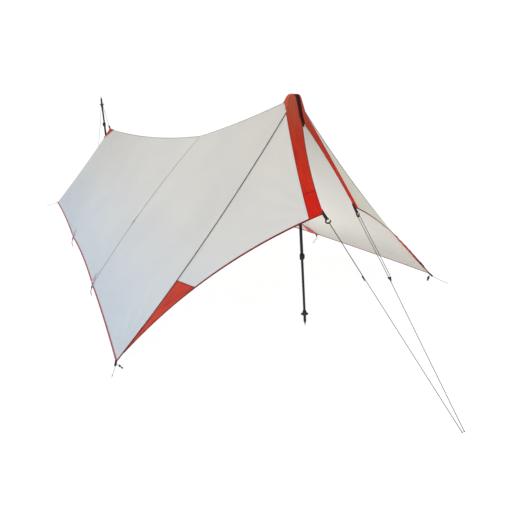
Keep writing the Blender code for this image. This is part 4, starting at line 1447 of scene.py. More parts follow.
        def surface(u: float, v: float) -> Vector:
            """Point of the patch."""
            across = 2.0 * u - 1.0
            reach = abs(across) * 0.94
            near = edge(edge_share * reach)
            far = ridge(ridge_share).lerp(edge(edge_share), reach)
            point = near.lerp(far, v) + rise.lerp(outward, min(1.0, reach * 4.0))
            return LAYOUT.crown((Side.RIGHT if across > 0.0 else Side.LEFT).place(point)) + UP * 0.001

        return surface

    def folded_sheet(self, name: str, surface: Surface, finish: bpy.types.Material, node: str,
                     crease: Callable[[float, float], float]) -> None:
        """A patch that spans both sides of the ridge.

        Args:
            name: Piece name.
            surface: Its surface.
            finish: Material.
            node: CAD node that it stands for.
            crease: Extra height at (u, v).
        """
        columns, rows = 48, 20
        grid = []
        for v in (row / rows for row in range(rows + 1)):
            line = []
            for u in (column / columns for column in range(columns + 1)):
                near = surface(min(1.0, u + 0.02), v) - surface(max(0.0, u - 0.02), v)
                down = surface(u, min(1.0, v + 0.02)) - surface(u, max(0.0, v - 0.02))
                normal = near.cross(down).normalized()
                line.append(surface(u, v) + (normal if normal.z > 0.0 else -normal) * crease(u, v))
            grid.append(line)
        piece, area = Workshop.cloth(name, grid, (0.16, 0.12), lambda normal: normal.z, finish, 0.0008)
        Rider.ride(piece, "canopy", "red_cloth", [node])
        width = run_of([surface(step / 16, 0.5) for step in range(17)])
        length = area / width * 1.35
        Rider.sheet(piece, area, (width, length), ["front_pole_grip"])

    def build_cap(self) -> None:
        """The red cap over the peak, and a dark band behind the slit that paints the shade in the gap between the
        strips.
        """
        lay = LAYOUT
        surface = self.gusset(lay.ridge_front, 0.133 / lay.seam_run, lay.front_seam, lay.strip_top_share,
                              lay.front_wall, 0.05)

        def crease(u: float, v: float) -> float:
            """Soft puckers across the cap."""
            return 0.0009 * math.sin(26.0 * u + 3.0 * v) * math.sin(math.pi * v) * math.sin(math.pi * u)

        self.folded_sheet("peak_cap_cloth", surface, self.finishes.cap, "peak_cap", crease)
        stations = []
        for step in range(31):
            t = step / 30
            spot = lay.slit_top.lerp(lay.slit_foot, t * 1.02)
            spot.x = 0.0
            ahead = (lay.slit_foot - lay.slit_top).normalized()
            normal = ahead.cross(Vector((1.0, 0.0, 0.0))).normalized()
            normal = normal if normal.y < 0.0 else -normal
            taper = 1.0 - 0.30 * t ** 2 - 0.50 * ease((t - 0.86) / 0.14)
            stations.append((lay.crown(spot) - normal * 0.004, Vector((taper, 0.0, 0.0)), normal))
        # Painted shade: the dark band fills the slit where the gap between the strips lies in shade.
        tape = Workshop.band("peak_slit_painted_shade", stations, flat_profile(-0.0165, 0.0165, -0.0006, 0.0006),
                             self.finishes.slit)
        Rider.ride(tape, "canopy", "webbing")

    def build_rear_patch(self) -> None:
        """The red patch over the ridge's rear end, and its webbing tab."""
        lay = LAYOUT
        edge_share = 0.110 / (lay.rear_corner - lay.ridge_end).length
        surface = self.gusset(lambda t: lay.ridge_rear(1.0 - t), 0.110 / (lay.ridge_run - lay.seam_run),
                              lay.rear_hem, edge_share, lay.rear_wall, 0.95)

        def crease(u: float, v: float) -> float:
            """Soft puckers that run to the tab."""
            return 0.0007 * math.sin(30.0 * u) * math.sin(math.pi * u) * v

        self.folded_sheet("rear_patch_cloth", surface, self.finishes.cap, "rear_ridge_patch", crease)
        pull = (GroundCords.rear_basket() - lay.ridge_end).normalized()
        root = lay.ridge_end + UP * 0.003
        self.build_tab("rear_ridge_loop", Side.LEFT, root, pull, 0.0345, Vector((1.0, 0.0, 0.0)), 0.0070,
                       self.finishes.webbing, ["rear_ridge_tab"])


# ------------------------------------------------------------------ door wings

@dataclass
class DoorWing:
    """One door wing: pale cloth, red strip, red corner, bindings, webbing tab and hook.

    Attributes:
        side: Left or right.
        finishes: Materials.
        hem_width: Width of the hem binding.
        doubler_top: Where the doubled foot of the strip begins, down the strip.
        doubler_slant: How much higher it begins at the seam.
        tab_half: Half the width of the webbing tab.
        tab_wall: Half its thickness.
        opening: Middle of the hook's opening, in degrees.
        opening_width: Its width, in degrees.
    """

    side: Side
    finishes: Finishes
    hem_width: float = 0.0085
    doubler_top: float = 0.796
    doubler_slant: float = 0.034
    tab_half: float = 0.0080
    tab_wall: float = 0.0006
    opening: float = 76.0
    opening_width: float = 64.0

    def build(self) -> None:
        """Build every piece of the wing."""
        self.build_cloth()
        self.build_doubler()
        self.build_tab()
        self.build_hook()

    def build_cloth(self) -> None:
        """The wing's three panels with their seams and bindings."""
        lay, finishes, word = LAYOUT, self.finishes, self.side.word
        middle = lay.wing(0.5, 0.5)
        panels = (
            (Panel("wing_cloth", lay.wing, finishes.wing[self.side], 84, 72, fans=(
                Fan(lay.door_tip, middle, 0.0024, 0.17), Fan(lay.peak, middle, 0.0016, 0.15),
                Fan(lay.front_corner, middle, 0.0026, 0.40)), ripple=Canopy.drape(0.0020, 1.6)),
             "wing", "cloth"),
            (Panel("strip_cloth", lay.strip, finishes.strip, 16, 110, ripple=self.strip_ripple), "front_strip",
             "red_cloth"),
            (Panel("corner_cloth", lay.corner, finishes.corner, 72, 28, ripple=self.corner_ripple), "corner_panel",
             "red_cloth"),
        )
        trims = self.build_trims()
        for (panel, node, slot), own in zip(panels, trims):
            piece, area, flat = panel.build(self.side)
            Rider.bend(piece, self.side, slot, [f"{word}_{node}"])
            Rider.sheet(piece, area, flat, [f"{word}_door_hook", f"{word}_corner_tab"], own)

    @staticmethod
    def strip_ripple(u: float, v: float) -> float:
        """Soft length-wise folds of the red strip."""
        return (0.0010 * math.sin(9.0 * v + 5.0 * u) * math.sin(math.pi * u)
                + 0.0008 * math.sin(3.0 * math.pi * u + 4.0 * v))

    @staticmethod
    def corner_ripple(u: float, v: float) -> float:
        """Tight folds that run down the corner panel to its point."""
        fold = math.sin(2.0 * math.pi * (3.4 * v + 0.5 * u)) + 0.6 * math.sin(2.0 * math.pi * (6.2 * v - 0.8 * u))
        return 0.0026 * fold * (1.0 - 0.75 * u) + 0.0012 * math.sin(40.0 * u + 9.0 * v)

    def build_trims(self) -> list[list[bpy.types.Object]]:
        """Hem bindings and seam tapes.

        Returns:
            The pieces that belong to the wing, the strip and the corner panel.
        """
        lay, finishes = LAYOUT, self.finishes
        wrap = flat_profile(-0.0010, self.hem_width, -0.0009, 0.0011)
        fine = flat_profile(-0.0022, 0.0022, 0.0, 0.0006, 0.0002)
        narrow = flat_profile(-0.0006, 0.0036, -0.0008, 0.0009)
        rows = (
            (("hem_binding", lay.wing, lambda t: (t, 1.0), (0.0, -0.01), wrap, finishes.door_binding, 60),),
            (("strip_hem_binding", lay.strip, lambda t: (t, 1.0), (0.0, -0.01), wrap, finishes.door_binding, 10),
             ("strip_seam_tape", lay.strip, lambda t: (1.0, 0.01 + 0.98 * t), (-0.01, 0.0), fine,
              finishes.red_seam, 70),
             ("strip_edge_binding", lay.strip, lambda t: (0.0, 0.01 + 0.985 * t), (0.02, 0.0), narrow,
              finishes.door_binding, 70)),
            (("corner_hem_binding", lay.corner, lambda t: (t, 1.0), (0.0, -0.01), wrap,
              finishes.door_binding, 40),
             ("corner_hem_strap", lay.corner, lambda t: (0.80 + 0.11 * t, 1.0), (0.0, -0.01),
              flat_profile(-0.0030, 0.0100, -0.0032, 0.0032), finishes.webbing, 6),
             ("corner_seam_tape", lay.corner, lambda t: (0.0, 0.02 + 0.96 * t), (0.01, 0.0), fine,
              finishes.red_seam, 20)))
        made = []
        for group in rows:
            own = []
            for name, surface, path, inward, profile, finish, count in group:
                if "strap" in name and self.side is Side.LEFT:
                    continue
                lift = 0.0010 if "seam" in name else 0.0006
                stations = seam_stations(surface, path, inward, count, self.side, lift)
                piece = Workshop.band(f"{self.side.word}_{name}", stations, profile, finish)
                own.append(Rider.bend(piece, self.side, "red_cloth"))
            made.append(own)
        return made

    def build_doubler(self) -> None:
        """The doubled foot of the red strip, puckered towards the tip."""
        def foot(u: float, v: float) -> Vector:
            """Point of the doubler on the strip."""
            top = self.doubler_top - self.doubler_slant * u
            return LAYOUT.strip(0.02 + 0.96 * u, top + (0.996 - top) * v)

        def pucker(u: float, v: float) -> float:
            """Diagonal pull folds."""
            return 0.0024 * math.sin(2.0 * math.pi * (1.7 * u + 1.5 * v)) * math.sin(math.pi * u)

        panel = Panel("strip_doubler", foot, self.finishes.doubled, 16, 24, lift=0.0016, thickness=0.0006,
                      ripple=pucker)
        piece, area, flat = panel.build(self.side)
        Rider.bend(piece, self.side, "red_cloth")
        stations = seam_stations(foot, lambda t: (t, 0.0), (0.0, 0.05), 8, self.side, 0.0019)
        row = Workshop.band(f"{self.side.word}_doubler_stitching", stations,
                            flat_profile(-0.0012, 0.0022, 0.0, 0.0005), self.finishes.door_binding)
        Rider.bend(row, self.side, "red_cloth")
        Rider.sheet(piece, area, flat, [f"{self.side.word}_front_strip"], [row])

    def build_tab(self) -> None:
        """Webbing that runs from the wing's tip round the hook's bar and back."""
        tip, along, _ = DoorLine.run(self.side)
        centre = DoorLine.hook_centre(self.side)
        across = DoorLine.strand_side(self.side)
        upright = DoorLine.upright(self.side)
        bar = centre - along * DoorLine.ring_radius
        wrap = DoorLine.rod_radius + 0.0007
        route = [(tip - along * 0.026, wrap * 0.45), (tip - along * 0.010, wrap * 0.55),
                 (tip + along * 0.008, wrap * 0.8), (bar - along * 0.008, wrap * 0.95)]
        points = [spot + across * offset for spot, offset in route]
        points += [bar + across * (math.cos(a) * wrap) + along * (math.sin(a) * wrap)
                   for a in (math.radians(30 * step) for step in range(7))]
        points += [spot - across * offset for spot, offset in reversed(route)]
        section = flat_profile(-self.tab_half, self.tab_half, -self.tab_wall, self.tab_wall)
        piece = Workshop.band(f"{self.side.word}_door_loop", strap_stations(points, upright, Vector), section,
                              self.finishes.webbing)
        Rider.ride(piece, self.side.wing, "webbing", [f"{self.side.word}_door_tab"])

    def build_hook(self) -> None:
        """An open ring with a flat bar for the webbing, rounded at its open ends."""
        centre = DoorLine.hook_centre(self.side)
        _, along, _ = DoorLine.run(self.side)
        upright = DoorLine.upright(self.side)
        ring = Operators.torus(f"{self.side.word}_hook_moulding", DoorLine.ring_radius,
                               DoorLine.moulded_radius, 64, 16)
        Operators.cut_sector(ring, math.radians(self.opening), math.radians(self.opening_width))
        Operators.round_open_ends(ring, 0.0020)
        Operators.stretch(ring, lambda v: v.x < -DoorLine.ring_radius * 0.72, (1.0, 1.0, 1.25))
        Operators.settle(ring, Matrix.Translation(centre) @ DoorLine.turn(along, upright), self.finishes.plastic, 60)
        Rider.ride(ring, self.side.wing, "fittings", [f"{self.side.word}_door_hook"])


# ------------------------------------------------------------------ door lines

@dataclass
class DoorLine:
    """The guyline of one door wing and the tensioner on it.

    Attributes:
        side: Left or right.
        finishes: Materials.
        peg: Ground point that both lines share.
        peg_spread: How far each line lies from its middle.
        runs: Wing tip to tensioner, left and right.
        turns: Turn of the doubled strands about the line, in degrees, left and right.
    """

    side: Side
    finishes: Finishes
    peg: Vector = Vector((-0.061, -1.364, 0.0))
    peg_spread: float = 0.006
    radius: float = 0.00125
    fit_gap: float = 0.0003
    tab_clearance: float = 0.0022
    tab_length: float = 0.030
    ring_radius: float = 0.0120
    rod_radius: float = 0.0024
    moulded_radius: float = 0.0041
    strand_pitch: float = 0.0110
    runs: tuple[float, float] = (0.395, 0.440)
    turns: tuple[float, float] = (-58.0, 0.0)
    tensioner_width: float = 0.019
    tensioner_length: float = 0.026
    tensioner_thickness: float = 0.0048

    @classmethod
    def run(cls, side: Side) -> tuple[Vector, Vector, float]:
        """Wing tip, unit direction to the peg, and full length."""
        tip = side.place(LAYOUT.door_tip)
        peg = cls.peg + Vector((side.value * cls.peg_spread, 0.0, cls.radius + cls.fit_gap))
        return tip, (peg - tip).normalized(), (peg - tip).length

    @classmethod
    def hook_centre(cls, side: Side) -> Vector:
        """Middle of the hook's ring."""
        tip, along, _ = cls.run(side)
        reach = cls.tab_clearance + cls.tab_length + 2.0 * cls.fit_gap
        return tip + along * (reach + cls.rod_radius + cls.ring_radius)

    @classmethod
    def strand_side(cls, side: Side) -> Vector:
        """Direction in which the doubled strands lie apart, turned about the line on the left."""
        _, along, _ = cls.run(side)
        return Matrix.Rotation(math.radians(side.pick(cls.turns)), 3, along) @ UP.cross(along).normalized()

    @classmethod
    def upright(cls, side: Side) -> Vector:
        """Upward direction square to the line."""
        _, along, _ = cls.run(side)
        made = along.cross(cls.strand_side(side)).normalized()
        return made if made.z > 0.0 else -made

    @staticmethod
    def turn(along: Vector, upright: Vector) -> Matrix:
        """A turn that lays local X on along and local Y on upright."""
        return Matrix((along, upright, along.cross(upright))).transposed().to_4x4()

    def route(self) -> list[Vector]:
        """From the tensioner up to the hook, through its ring, and down to the peg."""
        side = self.side
        tip, along, length = self.run(side)
        run = side.pick(self.runs)
        across = self.strand_side(side)
        turn = self.hook_centre(side) + along * (self.ring_radius - self.rod_radius - self.radius - 0.0002 + 0.0028)
        half = self.moulded_radius + self.radius + 0.0007
        below = tip + along * (run - 0.004)
        main = [tip + along * length, tip + along * (length * 0.75), tip + along * (length * 0.5),
                tip + along * (run + 0.06), below]
        loop = [turn + along * 0.030 - across * (half + 0.0002), turn + along * 0.009 - across * half,
                turn - along * 0.0008 - across * half * 0.72, turn - along * 0.0030,
                turn - along * 0.0008 + across * half * 0.72, turn + along * 0.009 + across * half,
                turn + along * 0.030 + across * (half + 0.0002)]
        tail = [below + across * self.strand_pitch]
        return list(reversed(smooth_route(main + loop + tail, 0.0035, most=12)))

    def build(self) -> None:
        """The line, its end loop and knots, and its tensioner."""
        body = f"{self.side.word}_door_line"
        points = self.route()
        line = Workshop.tube(f"{self.side.word}_door_cord", points, self.radius * 1.25, self.finishes.line)
        Rider.ride(line, body, "cord", [f"{self.side.word}_guyline"])
        end = points[-1]
        knot = Workshop.knot(f"{self.side.word}_peg_knot", end - (end - points[-2]).normalized() * 0.003,
                             end - points[-2], 0.0055, self.radius * 0.8, self.finishes.line)
        Rider.ride(knot, body, "cord")
        length = run_of(points)
        LOG.info("%s is %.3f m long and ends at %s", line.name, length, tuple(round(c, 3) for c in end))
        self.build_tensioner()

    def build_tensioner(self) -> None:
        """A triangular three-hole plate with softened edges and two moulded ribs."""
        side = self.side
        tip, along, _ = self.run(side)
        across = self.strand_side(side)
        face = along.cross(across).normalized()
        face = face if face.z > 0.0 else -face
        behind = self.tensioner_thickness * 0.5 + self.radius + self.fit_gap
        origin = tip + along * side.pick(self.runs) + across * (self.strand_pitch * 0.5) - face * behind
        plate = Operators.triangle_plate(f"{side.word}_tensioner_plate", self.tensioner_width, self.tensioner_length,
                                         self.tensioner_thickness, 0.0036)
        holes = [(0.0046, offset, 0.0018) for offset in (-0.00495, 0.00495)] + [(0.0214, 0.0, 0.0018)]
        for number, (x, y, radius) in enumerate(holes):
            Operators.drill(plate, (x, y), radius, f"{side.word}_drill_{number}")
        Operators.settle(plate, facing(origin, along, face), self.finishes.plastic, 40, edge=0.0005)
        Rider.ride(plate, f"{side.word}_tensioner", "fittings", [f"{side.word}_line_tensioner"])


# ------------------------------------------------------------------ small cords

@dataclass
class GroundCords:
    """Tie loops, corner cords, rear lines and the small fittings on them.

    Attributes:
        finishes: Materials.
        corner_pegs: Ground points of the front corner cords, left and right.
        lock_offsets: From each front corner to its cord lock, left and right.
        bead_offsets: From each front corner to its end bead, left and right.
        lock_sizes: Radius and length of each lock.
        bead_sizes: Radius and length of each bead.
    """

    finishes: Finishes
    loop_radius: float = 0.0010
    line_radius: float = 0.00125
    fit_gap: float = 0.0003
    peg_lift: float = 0.003
    corner_pegs: tuple[Vector, Vector] = (Vector((-1.175, 0.044, 0.0)), Vector((1.110, -0.002, 0.0)))
    lock_offsets: tuple[Vector, Vector] = (Vector((0.010, -0.030, -0.0135)), Vector((-0.036, -0.025, -0.0115)))
    bead_offsets: tuple[Vector, Vector] = (Vector((0.014, -0.057, -0.0145)), Vector((-0.058, -0.044, -0.0140)))
    lock_sizes: tuple[tuple[float, float], ...] = ((0.0056, 0.0130), (0.0075, 0.0340))
    bead_sizes: tuple[tuple[float, float], ...] = ((0.0046, 0.0100), (0.0056, 0.0200))
    rear_corner_peg: Vector = Vector((-0.521, 4.156, 0.0))
    tie_offset: Vector = Vector((-0.003, 0.049, 0.0))
    rear_peg_station: float = 4.176
    basket_radius: float = 0.0205
    basket: Vector = Vector((0.0, 3.506, 1.036))

    @classmethod
    def rear_basket(cls) -> Vector:
        """Where the cords leave the basket of the upturned rear pole."""
        return cls.basket.copy()

    @classmethod
    def corner_start(cls, side: Side) -> Vector:
        """Where a front corner's cord begins."""
        corner = side.place(LAYOUT.front_corner)
        away = side.pick(cls.corner_pegs) - corner
        away.z = 0.0
        start = corner + away.normalized() * (0.026 + 3.0 * cls.fit_gap)
        start.z = LAYOUT.front_corner.z * 0.5
        return start

    def build(self) -> None:
        """Every small cord, each with its knot."""
        for side in Side:
            self.build_corner(side)
            self.build_rear_corner(side)
            for number, tie in enumerate(LAYOUT.ties, 1):
                self.build_tie_loop(side, number, tie)
            self.build_toggle(side)
        self.build_rear_lines()

    def lay_cord(self, name: str, points: Sequence[Vector], radius: float, node: str, knots: Sequence[int]) -> None:
        """Build and log one cord.

        Args:
            name: Piece name.
            points: Its centreline.
            radius: Cord radius.
            node: CAD node that it stands for.
            knots: Indices of the points that carry a knot.
        """
        piece = Workshop.tube(name, points, radius * 1.25, self.finishes.loop, 8)
        Rider.ride(piece, "canopy", "cord", [node])
        for number, index in enumerate(knots, 1):
            at = index % len(points)
            axis = points[min(at + 1, len(points) - 1)] - points[max(at - 1, 0)]
            spot = points[at].copy()
            spot.z = max(spot.z, radius * 3.2)
            knot = Workshop.knot(f"{name}_knot_{number}", spot, axis, radius * 5.5, radius * 0.9, self.finishes.loop)
            Rider.ride(knot, "canopy", "cord")
        length = run_of(points)
        LOG.info("%s is %.3f m long", name, length)

    def build_corner(self, side: Side) -> None:
        """The short cord from a front corner's webbing to its peg."""
        peg = side.pick(self.corner_pegs).copy()
        peg.z = self.peg_lift
        start = self.corner_start(side)
        bend = start.lerp(peg, 0.5) + Vector((0.0, 0.0, -0.0015))
        self.lay_cord(f"{side.word}_corner_line", smooth_route([start, bend, peg], 0.006), self.loop_radius,
                      f"{side.word}_front_corner_cord", [-4])

    def build_rear_corner(self, side: Side) -> None:
        """The cord from a rear corner to its peg."""
        rear = side.place(LAYOUT.rear_corner)
        peg = side.place(self.rear_corner_peg)
        peg.z = self.peg_lift
        first = rear + (peg - rear).normalized() * 0.003
        self.lay_cord(f"{side.word}_rear_line", smooth_route([first, first.lerp(peg, 0.5), peg], 0.012),
                      self.loop_radius, f"{side.word}_rear_corner_cord", [3, -3])

    def build_tie_loop(self, side: Side, number: int, tie: Vector) -> None:
        """The loop from a side tab to its peg and back."""
        down = Vector((side.value * 0.35, 0.0, -0.94)).normalized()
        foot = side.place(tie) + down * (0.0022 + 0.020 + 2.5 * self.fit_gap)
        offset = side.place(self.tie_offset)
        peg = Vector((side.place(tie).x + offset.x, tie.y + offset.y, self.peg_lift))
        spread = Vector((0.0, 0.0045, 0.0))
        out = Vector((side.value * 0.005, 0.0, 0.0))
        points = [foot - spread, foot - spread + down * 0.008, foot.lerp(peg, 0.5) - spread * 1.1 + out,
                  peg - spread * 0.9 + Vector((0.0, -0.004, 0.002)), peg + Vector((0.0, 0.003, 0.0)),
                  peg + spread * 0.6 + Vector((0.0, 0.0, 0.0045)), foot.lerp(peg, 0.5) + spread * 1.1 + out,
                  foot + spread + down * 0.008, foot + spread]
        self.lay_cord(f"{side.word}_tie_cord_{number}", smooth_route(points, 0.004), self.loop_radius,
                      f"{side.word}_side_loop_{number}", [])

    def build_toggle(self, side: Side) -> None:
        """The small cord lock and end bead that lie beside a front corner."""
        corner = side.place(LAYOUT.front_corner)
        first, second = side.pick(self.lock_offsets), side.pick(self.bead_offsets)
        out = (second - first).normalized()
        for name, sizes, offset in (("lock", self.lock_sizes, first), ("bead", self.bead_sizes, second)):
            radius, length = side.pick(sizes)
            piece = Operators.barrel(f"{side.word}_corner_{name}", radius, length, 0.0015)
            Operators.settle(piece, facing(corner + offset, out, UP) @ Matrix.Rotation(math.pi / 2, 4, "Y"),
                             self.finishes.plastic, 40)
            Rider.ride(piece, "canopy", "fittings")
        start = corner - UP * 0.004
        points = smooth_route([start, start.lerp(corner + first, 0.5) - UP * 0.003, corner + first,
                               corner + (first + second) * 0.5, corner + second], 0.003)
        tail = Workshop.tube(f"{side.word}_corner_tail", points, 0.0009, self.finishes.loop, 8)
        Rider.ride(tail, "canopy", "cord")
        length = run_of(points)

    def build_rear_lines(self) -> None:
        """The line from the basket to the ridge, and the guyline behind."""
        basket = self.rear_basket()
        reach = Vector((0.0, self.basket_radius + self.line_radius + self.fit_gap, 0.0))
        pull = (basket - LAYOUT.ridge_end).normalized()
        tab_end = LAYOUT.ridge_end + pull * (0.004 + 0.030 + 3.0 * self.fit_gap)
        start = basket - reach
        points = [start, start + Vector((0.0, -0.0015, -0.012)), start.lerp(tab_end, 0.5), tab_end]
        self.lay_cord("rear_ridge_line", smooth_route(points, 0.006), self.line_radius, "rear_ridge_cord",
                      [13])
        peg = Vector((0.0, self.rear_peg_station, self.peg_lift))
        start = basket + reach
        points = [start, start + Vector((0.0, 0.0045, -0.012)),
                  start.lerp(peg, 0.5) + Vector((0.0, 0.001, -0.002)), peg]
        self.lay_cord("rear_guyline_cord", smooth_route(points, 0.016), self.line_radius, "rear_guyline",
                      [4, -2])
        ring = Workshop.tube("rear_basket_hitch", [
            basket + Vector((0.0222 * math.cos(a), 0.0222 * math.sin(a), -0.0005 + 0.0004 * math.sin(2 * a)))
            for a in (2.0 * math.pi * s / 40 for s in range(40))], self.line_radius, self.finishes.loop, 8, True)
        Rider.ride(ring, "rear_pole_lower_section", "cord")


# ------------------------------------------------------------------ hard parts by operators

class Operators:
    """Hard pieces modelled with Blender's own operators, each at the origin first."""

    @staticmethod
    def start() -> None:
        """Object mode with nothing selected."""
        if bpy.context.mode != "OBJECT":
            bpy.ops.object.mode_set(mode="OBJECT")
        bpy.ops.object.select_all(action="DESELECT")

    @classmethod
    def named(cls, name: str) -> bpy.types.Object:
        """Name the newest primitive."""
        made = bpy.context.object
        made.name = name
        made.data.name = name
        return made

    @classmethod
    def pick(cls, made: bpy.types.Object, faces: Callable[[Vector, Vector], bool]) -> None:
        """Enter edit mode with the faces selected that pass a test of centre and normal."""
        Workshop.only(made)
        bpy.ops.object.mode_set(mode="EDIT")
        bpy.ops.mesh.select_mode(type="FACE")
        bpy.ops.mesh.select_all(action="DESELECT")
        cage = bmesh.from_edit_mesh(made.data)
        for face in cage.faces:
            face.select_set(faces(face.calc_center_median(), face.normal))
        bmesh.update_edit_mesh(made.data)

    @classmethod
    def torus(cls, name: str, ring: float, rod: float, around: int, across: int) -> bpy.types.Object:
        """A ring of round rod."""
        cls.start()
        bpy.ops.mesh.primitive_torus_add(major_radius=ring, minor_radius=rod, major_segments=around,
                                         minor_segments=across)
        return cls.named(name)

    @classmethod
    def cut_sector(cls, made: bpy.types.Object, middle: float, width: float) -> None:
        """Remove the part of a ring within width of an angle, measured from -X towards +Y."""
        def inside(centre: Vector, _: Vector) -> bool:
            """Whether a face lies in the opening."""
            angle = math.atan2(centre.y, -centre.x)
            away = (angle - middle + math.pi) % (2.0 * math.pi) - math.pi
            return abs(away) < width * 0.5
        cls.pick(made, inside)
        bpy.ops.mesh.delete(type="FACE")
        bpy.ops.object.mode_set(mode="OBJECT")

    @classmethod
    def round_open_ends(cls, made: bpy.types.Object, inset: float) -> None:
        """Close both open ends with a softened cap."""
        Workshop.only(made)
        bpy.ops.object.mode_set(mode="EDIT")
        bpy.ops.mesh.select_mode(type="EDGE")
        bpy.ops.mesh.select_all(action="DESELECT")
        bpy.ops.mesh.select_non_manifold()
        bpy.ops.mesh.fill_holes(sides=0)
        bpy.ops.object.mode_set(mode="OBJECT")
        cls.pick(made, lambda centre, normal: False)
        cage = bmesh.from_edit_mesh(made.data)
        for face in cage.faces:
            face.select_set(len(face.verts) > 4)
        bmesh.update_edit_mesh(made.data)
        bpy.ops.mesh.inset(thickness=inset * 0.6, depth=inset * 0.5, use_individual=True)
        bpy.ops.object.mode_set(mode="OBJECT")

    @classmethod
    def stretch(cls, made: bpy.types.Object, where: Callable[[Vector], bool], scale: Sequence[float]) -> None:
        """Scale the vertices that pass a test about their own middle."""
        cls.pick(made, lambda centre, normal: where(centre))
        bpy.ops.transform.resize(value=scale)
        bpy.ops.object.mode_set(mode="OBJECT")

    @classmethod
    def turned(cls, name: str, profile: Sequence[tuple[float, float]], steps: int = 48,
               closed: bool = False) -> bpy.types.Object:
        """A turned solid, drawn up ring by ring with extrude and scale.

        Args:
            name: Piece name.
            profile: Radius and height of each ring.
            steps: Faces round it.
            closed: Bridge the last ring to the first, for a sleeve.

        Returns:
            The piece.
        """
        cls.start()
        radius, height = profile[0]
        bpy.ops.mesh.primitive_circle_add(vertices=steps, radius=radius, location=(0.0, 0.0, height))
        made = cls.named(name)
        bpy.ops.object.transform_apply(location=True, rotation=False, scale=False)
        bpy.ops.object.mode_set(mode="EDIT")
        bpy.ops.mesh.select_mode(type="VERT")
        bpy.ops.mesh.select_all(action="SELECT")
        if not closed:
            bpy.ops.mesh.edge_face_add()
            bpy.ops.mesh.select_all(action="SELECT")
        for next_radius, next_height in profile[1:]:
            bpy.ops.mesh.extrude_region_move(TRANSFORM_OT_translate={"value": (0.0, 0.0, next_height - height)})
            factor = next_radius / radius
            bpy.ops.transform.resize(value=(factor, factor, 1.0), center_override=(0.0, 0.0, next_height))
            radius, height = next_radius, next_height
        if closed:
            bpy.ops.mesh.select_all(action="DESELECT")
            bpy.ops.mesh.select_non_manifold()
            bpy.ops.mesh.bridge_edge_loops()
        bpy.ops.mesh.select_all(action="SELECT")
        bpy.ops.mesh.remove_doubles(threshold=0.000001)
        bpy.ops.mesh.normals_make_consistent(inside=False)
        bpy.ops.object.mode_set(mode="OBJECT")
        return made

    @classmethod
    def triangle_plate(cls, name: str, width: float, length: float, thickness: float,
                       radius: float) -> bpy.types.Object:
        """A flat triangle with rounded corners, its base at x 0 and its point at x length."""
        cls.start()
        bpy.ops.mesh.primitive_cylinder_add(vertices=3, radius=1.0, depth=thickness)
        made = cls.named(name)
        top = max(v.co.y for v in made.data.vertices)
        low = min(v.co.y for v in made.data.vertices)
        wide = max(v.co.x for v in made.data.vertices) * 2.0
        bpy.ops.object.mode_set(mode="EDIT")
        bpy.ops.mesh.select_all(action="SELECT")
        bpy.ops.transform.translate(value=(0.0, -low, 0.0))
        bpy.ops.transform.resize(value=(width * 1.12 / wide, length * 1.10 / (top - low), 1.0),
                                 center_override=(0.0, 0.0, 0.0))
        bpy.ops.mesh.select_mode(type="EDGE")
        bpy.ops.mesh.select_all(action="DESELECT")
        cage = bmesh.from_edit_mesh(made.data)
        for edge in cage.edges:
            edge.select_set(abs(edge.verts[0].co.z - edge.verts[1].co.z) > thickness * 0.5)
        bmesh.update_edit_mesh(made.data)
        bpy.ops.mesh.bevel(offset=radius, segments=6, affect="EDGES")
        bpy.ops.object.mode_set(mode="OBJECT")
        made.data.transform(Matrix.Rotation(-math.pi / 2, 4, "Z"))
        return made

    @classmethod
    def drill(cls, made: bpy.types.Object, at: tuple[float, float], radius: float, name: str) -> None:
        """Bore a round hole through a plate."""
        cls.start()
        bpy.ops.mesh.primitive_cylinder_add(vertices=20, radius=radius, depth=0.02, location=(*at, 0.0))
        cutter = cls.named(name)
        cut = made.modifiers.new("bore", "BOOLEAN")
        cut.operation = "DIFFERENCE"
        cut.object = cutter
        Workshop.only(made)
        bpy.ops.object.modifier_apply(modifier=cut.name)
        bpy.data.objects.remove(cutter, do_unlink=True)

    @classmethod
    def barrel(cls, name: str, radius: float, length: float, bore: float) -> bpy.types.Object:
        """A small waisted barrel with a bore along local Z."""
        half = length * 0.5
        rows = ((radius * 0.8, -half), (radius, -half * 0.82), (radius, -half * 0.35), (radius * 0.86, -half * 0.2),
                (radius * 0.86, half * 0.2), (radius, half * 0.35), (radius, half * 0.82), (radius * 0.8, half),
                (bore, half), (bore, -half))
        return cls.turned(name, rows, 24, closed=True)

    @classmethod
    def settle(cls, made: bpy.types.Object, place: Matrix, finish: bpy.types.Material, angle: float = 35.0,
               edge: float = 0.0) -> None:
        """Soften, place and paint a finished hard piece.

        Args:
            made: The piece.
            place: Where it goes.
            finish: Material.
            angle: Smooth shading angle in degrees.
            edge: Width of a bevel on its edges.
        """
        if edge:
            soft = made.modifiers.new("edge", "BEVEL")
            soft.width = edge
            soft.segments = 2
            soft.limit_method = "ANGLE"
            Workshop.only(made)
            bpy.ops.object.modifier_apply(modifier=soft.name)
        made.data.transform(place)
        Workshop.only(made)
        bpy.ops.object.shade_smooth_by_angle(angle=math.radians(angle))
        made.data.materials.clear()
        made.data.materials.append(finish)


# ------------------------------------------------------------------ trekking poles

